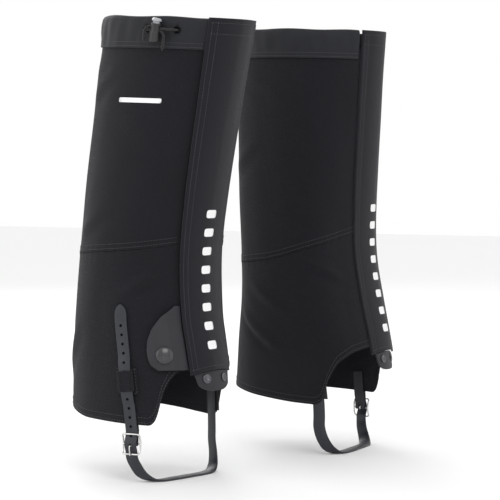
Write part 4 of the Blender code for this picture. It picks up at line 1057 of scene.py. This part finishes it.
strap_rubber = hard("strap_rubber", (0.009, 0.0105, 0.016), (0.018, 0.020, 0.027), 0.44, 0.56, grain=0.15,
                    size=0.012)
webbing = hard("webbing", (0.012, 0.012, 0.014), (0.020, 0.020, 0.022), 0.85, 0.92, grain=0.8)
for side in SIDES:
    path = strap_path(side)
    centre = Vector(to_world(side, 0, 0, 0))
    outward = Vector(to_world(side, 0, 1, 0)) - centre
    forward = Vector(to_world(side, 1, 0, 0)) - centre
    ways = []
    for point in path:
        across = (Vector(point) - centre).dot(outward)
        ways.append((forward - outward * 0.30 * across / 0.062).normalized())
    lengths = np.concatenate([[0.0], np.cumsum(np.linalg.norm(np.diff(path, axis=0), axis=1))])
    arch = np.clip(lengths / (10.5 * MM), 0.0, 1.0)
    widths = STRAP_WIDTH * (1 - (1 - arch) ** 2.3) ** 0.75 * 0.9 + STRAP_WIDTH * 0.1
    strap = band(f"{side}_strap", path, ways, widths, STRAP, strap_rubber)
    heights = BUCKLE_HEIGHT - 0.9 * MM + HOLE_STEP * np.arange(HOLE_COUNT)
    seats = [Seat(side, STRAP_ANGLE, z, float(strap_lift(z))) for z in heights]
    holes = places_with_facing(f"{side}_hole_places", [seat.point for seat in seats], [],
                               [seat.out for seat in seats])
    cut = strap.modifiers.new("holes", "NODES")
    cut.node_group = punching
    for label, value in (("Places", holes), ("Radius", 0.85 * STRAP_HOLE), ("Depth", 5 * MM),
                         ("Finish", strap_rubber)):
        set_input(cut, label, value)
    apply_modifiers(strap)
    strap.data.shade_smooth()
    strap.data.set_sharp_from_angle(angle=radians(45))
    bpy.data.objects.remove(holes)
    settle(strap, f"{side}_gaiter", "strap_rubber", f"{side}_instep_strap")
    frame["nodes"][f"{side}_strap_anchor"].data.materials[0] = webbing

# --- Strap keepers ------------------------------------------------------------------------------
# A loop of the panel's cloth that the strap's end slides through, sewn on a patch of the same cloth.
for side in SIDES:
    degrees, share = np.meshgrid(np.linspace(STRAP_ANGLE + 7.5, STRAP_ANGLE - 7.5, 22),
                                 np.linspace(-1, 1, 30), indexing="ij")
    patch = cloth_grid(f"{side}_keeper_base", side, degrees, KEEPER_HEIGHT + 13 * MM * share,
                       np.full(share.shape, FABRIC + 0.8 * MM), 0.8 * MM, canvas)
    settle(patch, f"{side}_gaiter", "canvas", f"{side}_keeper_patch")
    wall, clear, corner = 0.8 * MM, 0.5 * MM, 1.1 * MM
    half, deep = STRAP_WIDTH / 2 + clear, STRAP / 2 + clear
    outer, inner, outer_uvs, inner_uvs = [], [], [], []
    for share in np.linspace(1, -1, 16):
        z = KEEPER_HEIGHT + share * KEEPER_LENGTH / 2
        seat = Seat(side, STRAP_ANGLE, z, STRAP_OUT + 2.1 * MM)
        slack = 0.25 * MM * (1 - share**2)
        for grow, rings, uvs in ((wall, outer, outer_uvs), (0.0, inner, inner_uvs)):
            turn_radius = corner - (wall - grow) * 0.7
            loop = []
            for sign_x, sign_y, start in ((1, 1, 0), (-1, 1, 90), (-1, -1, 180), (1, -1, 270)):
                for angle in np.radians(np.linspace(start, start + 90, 5)):
                    x = sign_x * (half + grow - turn_radius) + turn_radius * cos(angle)
                    y = sign_y * (deep + grow + slack * (sign_y > 0) - turn_radius) + turn_radius * sin(angle)
                    loop.append(seat.at(x, 0, y))
            rings.append(loop)
            uvs.append([(i * 1.9 * MM, z) for i in range(len(loop))])
    order = outer + inner[::-1]
    marks = [pair for ring in outer_uvs + inner_uvs[::-1] for pair in ring]
    keeper = swept(f"{side}_keeper_loop", order, canvas, marks, closed=True)
    settle(keeper, f"{side}_gaiter", "canvas", f"{side}_strap_keeper")

# --- Buckles ------------------------------------------------------------------------------------
# A bright wire frame with a bar across its middle, held by a folded rubber-coated tab. Its prong turns
# on the bar and passes up through one of the strap's holes.
WIRE = 0.9 * MM
BAR_OUT = -0.6 * MM
for side in SIDES:
    seat = Seat(side, STRAP_ANGLE, BUCKLE_HEIGHT, STRAP_OUT)
    half_wide, half_tall = BUCKLE_HALF
    corner = 2.6 * MM
    loop = []
    for sign_x, sign_y, start in ((1, 1, 0), (-1, 1, 90), (-1, -1, 180), (1, -1, 270)):
        for angle in np.radians(np.linspace(start, start + 90, 9)):
            x = sign_x * (half_wide - corner) + corner * cos(angle)
            y = sign_y * (half_tall - corner) + corner * sin(angle)
            loop.append((x, y))
        after = {0: [(s, half_tall) for s in np.linspace(0.6, -0.6, 5) * half_wide],
                 90: [(-half_wide, s) for s in np.linspace(0.6, -0.6, 7) * half_tall],
                 180: [(s, -half_tall) for s in np.linspace(-0.6, 0.6, 5) * half_wide],
                 270: [(half_wide, s) for s in np.linspace(-0.6, 0.6, 7) * half_tall]}[start]
        loop += after
    points = [seat.at(x, y, BAR_OUT + (2.95 * MM) * (abs(y) / half_tall) ** 2) for x, y in loop]
    buckle = tube(f"{side}_buckle_wire", [tuple(p) for p in points], np.full(len(points), WIRE), bright_steel,
                  14, closed=True)
    settle(buckle, f"{side}_gaiter", "bright_steel", f"{side}_buckle_frame")
    bar_points = [tuple(seat.at(x, 0, BAR_OUT)) for x in np.linspace(-half_wide, half_wide, 9)]
    bar = tube(f"{side}_buckle_crossbar", bar_points, np.full(9, 0.95 * WIRE), bright_steel, 14)
    settle(bar, f"{side}_gaiter", "bright_steel")
    pin = Seat(side, STRAP_ANGLE, BUCKLE_HEIGHT, STRAP_OUT + BAR_OUT)
    ring = WIRE + 0.95 * MM
    route = []
    for angle in np.radians(np.arange(50, 331, 35)):
        route.append(pin.at(0, ring * sin(angle), ring * cos(angle)))
    shank = ((2.9, -1.1), (4.4, -1.3), (5.4, -2.2), (5.5, -4.4), (5.1, -7.4), (4.75, -10.0), (4.5, -11.2))
    route += [pin.at(0, up * MM, out * MM) for out, up in shank]
    path = smooth_path(route, 0.6 * MM)[0]
    radii = np.full(len(path), 0.7 * MM)
    radii[-3:] *= (0.95, 0.82, 0.5)
    prong = tube(f"{side}_prong", path, radii, bright_steel, 12)
    settle(prong, f"{side}_buckle_prong", "bright_steel", f"{side}_buckle_prong")
    frame["nodes"][f"{side}_buckle_tab"].data.materials[0] = coated_rubber

# --- Stitches -----------------------------------------------------------------------------------
# Lockstitch in black polyester thread, in rows along every seam: two above the slanting seam, one along
# the hem, two under the collar, two down each long edge of the front flap, and round its top.
STITCH_PITCH = 3.0 * MM
stitching = bpy.data.node_groups.new("stitching", "GeometryNodeTree")
for label, kind in (("Rows", "NodeSocketGeometry"), ("Pitch", "NodeSocketFloat"),
                    ("Length", "NodeSocketFloat"), ("Thread", "NodeSocketFloat"),
                    ("Finish", "NodeSocketMaterial")):
    stitching.interface.new_socket(label, in_out="INPUT", socket_type=kind)
stitching.interface.new_socket("Stitches", in_out="OUTPUT", socket_type="NodeSocketGeometry")
given, result = stitching.nodes.new("NodeGroupInput"), stitching.nodes.new("NodeGroupOutput")
rows = node(stitching, "GeometryNodeMeshToCurve", {}, {"Mesh": given.outputs["Rows"]})
spaced = node(stitching, "GeometryNodeResampleCurve", {"mode": "LENGTH"}, {
    "Curve": rows.outputs[0], "Length": given.outputs["Pitch"]})
along = node(stitching, "GeometryNodeInputTangent", {}, {})
facing = node(stitching, "GeometryNodeInputNamedAttribute", {"data_type": "FLOAT_VECTOR"}, {"Name": "facing"})
lengthways = node(stitching, "FunctionNodeAlignRotationToVector", {"axis": "X"}, {"Vector": along.outputs[0]})
upright = node(stitching, "FunctionNodeAlignRotationToVector", {"axis": "Z", "pivot_axis": "X"}, {
    "Rotation": lengthways.outputs[0], "Vector": facing.outputs["Attribute"]})
bead = node(stitching, "GeometryNodeMeshUVSphere", {}, {"Segments": 6, "Rings": 4, "Radius": 1.0})
half_length = node(stitching, "ShaderNodeMath", {"operation": "MULTIPLY"}, {
    0: given.outputs["Length"], 1: 0.5})
half_thread = node(stitching, "ShaderNodeMath", {"operation": "MULTIPLY"}, {
    0: given.outputs["Thread"], 1: 0.5})
size = node(stitching, "ShaderNodeCombineXYZ", {}, {"X": half_length.outputs[0], "Y": half_thread.outputs[0],
                                                    "Z": half_thread.outputs[0]})
stitches = node(stitching, "GeometryNodeInstanceOnPoints", {}, {
    "Points": spaced.outputs[0], "Instance": bead.outputs["Mesh"], "Rotation": upright.outputs[0],
    "Scale": size.outputs[0]})
real = node(stitching, "GeometryNodeRealizeInstances", {}, {"Geometry": stitches.outputs[0]})
finished = node(stitching, "GeometryNodeSetMaterial", {}, {
    "Geometry": real.outputs[0], "Material": given.outputs["Finish"]})
stitching.links.new(finished.outputs[0], result.inputs["Stitches"])
thread_black = hard("thread", (0.040, 0.040, 0.046), (0.062, 0.062, 0.070), 0.55, 0.65, grain=0.4, size=0.002)


def sewn(name, side, lines):
    """Rows of stitches along lines of (angle, height, out) arrays on one gaiter, as one plain mesh."""
    points, edges, facings = [], [], []
    for degrees, z, out in lines:
        degrees, z, out = np.broadcast_arrays(degrees, z, out)
        first = len(points)
        points += list(spot(side, degrees, z, out))
        away = spot(side, degrees, z, out + 1 * MM) - spot(side, degrees, z, out)
        facings += list(away / np.linalg.norm(away, axis=1)[:, None])
        edges += [(first + i, first + i + 1) for i in range(len(degrees) - 1)]
    made = places_with_facing(name, points, edges, facings)
    tree_on = made.modifiers.new("stitches", "NODES")
    tree_on.node_group = stitching
    for label, value in (("Pitch", STITCH_PITCH), ("Length", 2.3 * MM), ("Thread", 0.55 * MM),
                         ("Finish", thread_black)):
        set_input(tree_on, label, value)
    apply_modifiers(made)
    made.data.shade_smooth()
    return made


def panel_skin(side, degrees, z, edge):
    return panel_out(side, degrees, z, edge) + FABRIC / 2 + 0.05 * MM


for side in SIDES:
    lines = []
    degrees = np.linspace(30.5, 338, 264)
    for above in (2.6 * MM, 7.0 * MM):
        z = seam(degrees) + above
        lines.append((degrees, z, panel_skin(side, degrees, z, seam(degrees))))
    for above in (2.4 * MM, 7.4 * MM):
        degrees = np.linspace(30, 338, 420)
        z = hem(degrees) + above
        lines.append((degrees, z, panel_skin(side, degrees, z, hem(degrees))))
    degrees = np.linspace(36, 329, 260)
    for down in (-29.2, -25.4):
        out = 2.85 * MM + gather(side, degrees, np.full(degrees.shape, down))
        lines.append((degrees, RIM + down * MM, out))
    around = np.concatenate([np.linspace(-6.4, 6.4, 12), np.full(12, 6.4), np.linspace(6.4, -6.4, 12),
                             np.full(12, -6.4)])
    up = np.concatenate([np.full(12, 11.5), np.linspace(11.5, -11.5, 12), np.full(12, -11.5),
                         np.linspace(-11.5, 11.5, 12)])
    lines.append((STRAP_ANGLE + around, KEEPER_HEIGHT + up * MM, np.full(48, FABRIC + 1.23 * MM)))
    settle(sewn(f"{side}_panel_stitches", side, lines), f"{side}_gaiter", "canvas")
    lines = []
    step = np.linspace(0.012, 0.985, 150)
    for share in (0.05, 0.125, 0.875, 0.95):
        lines.append(flap_place(side, np.full(step.shape, share), step))
    share = np.linspace(0.05, 0.95, 24)
    for step in (0.986, 0.955, 0.012):
        lines.append(flap_place(side, share, np.full(share.shape, step)))
    raised = [(degrees, z, out + FLAP / 2 + 0.02 * MM) for degrees, z, out in lines]
    flap_stitches = sewn(f"{side}_flap_stitches", side, raised)
    bend_flap(side, flap_stitches)
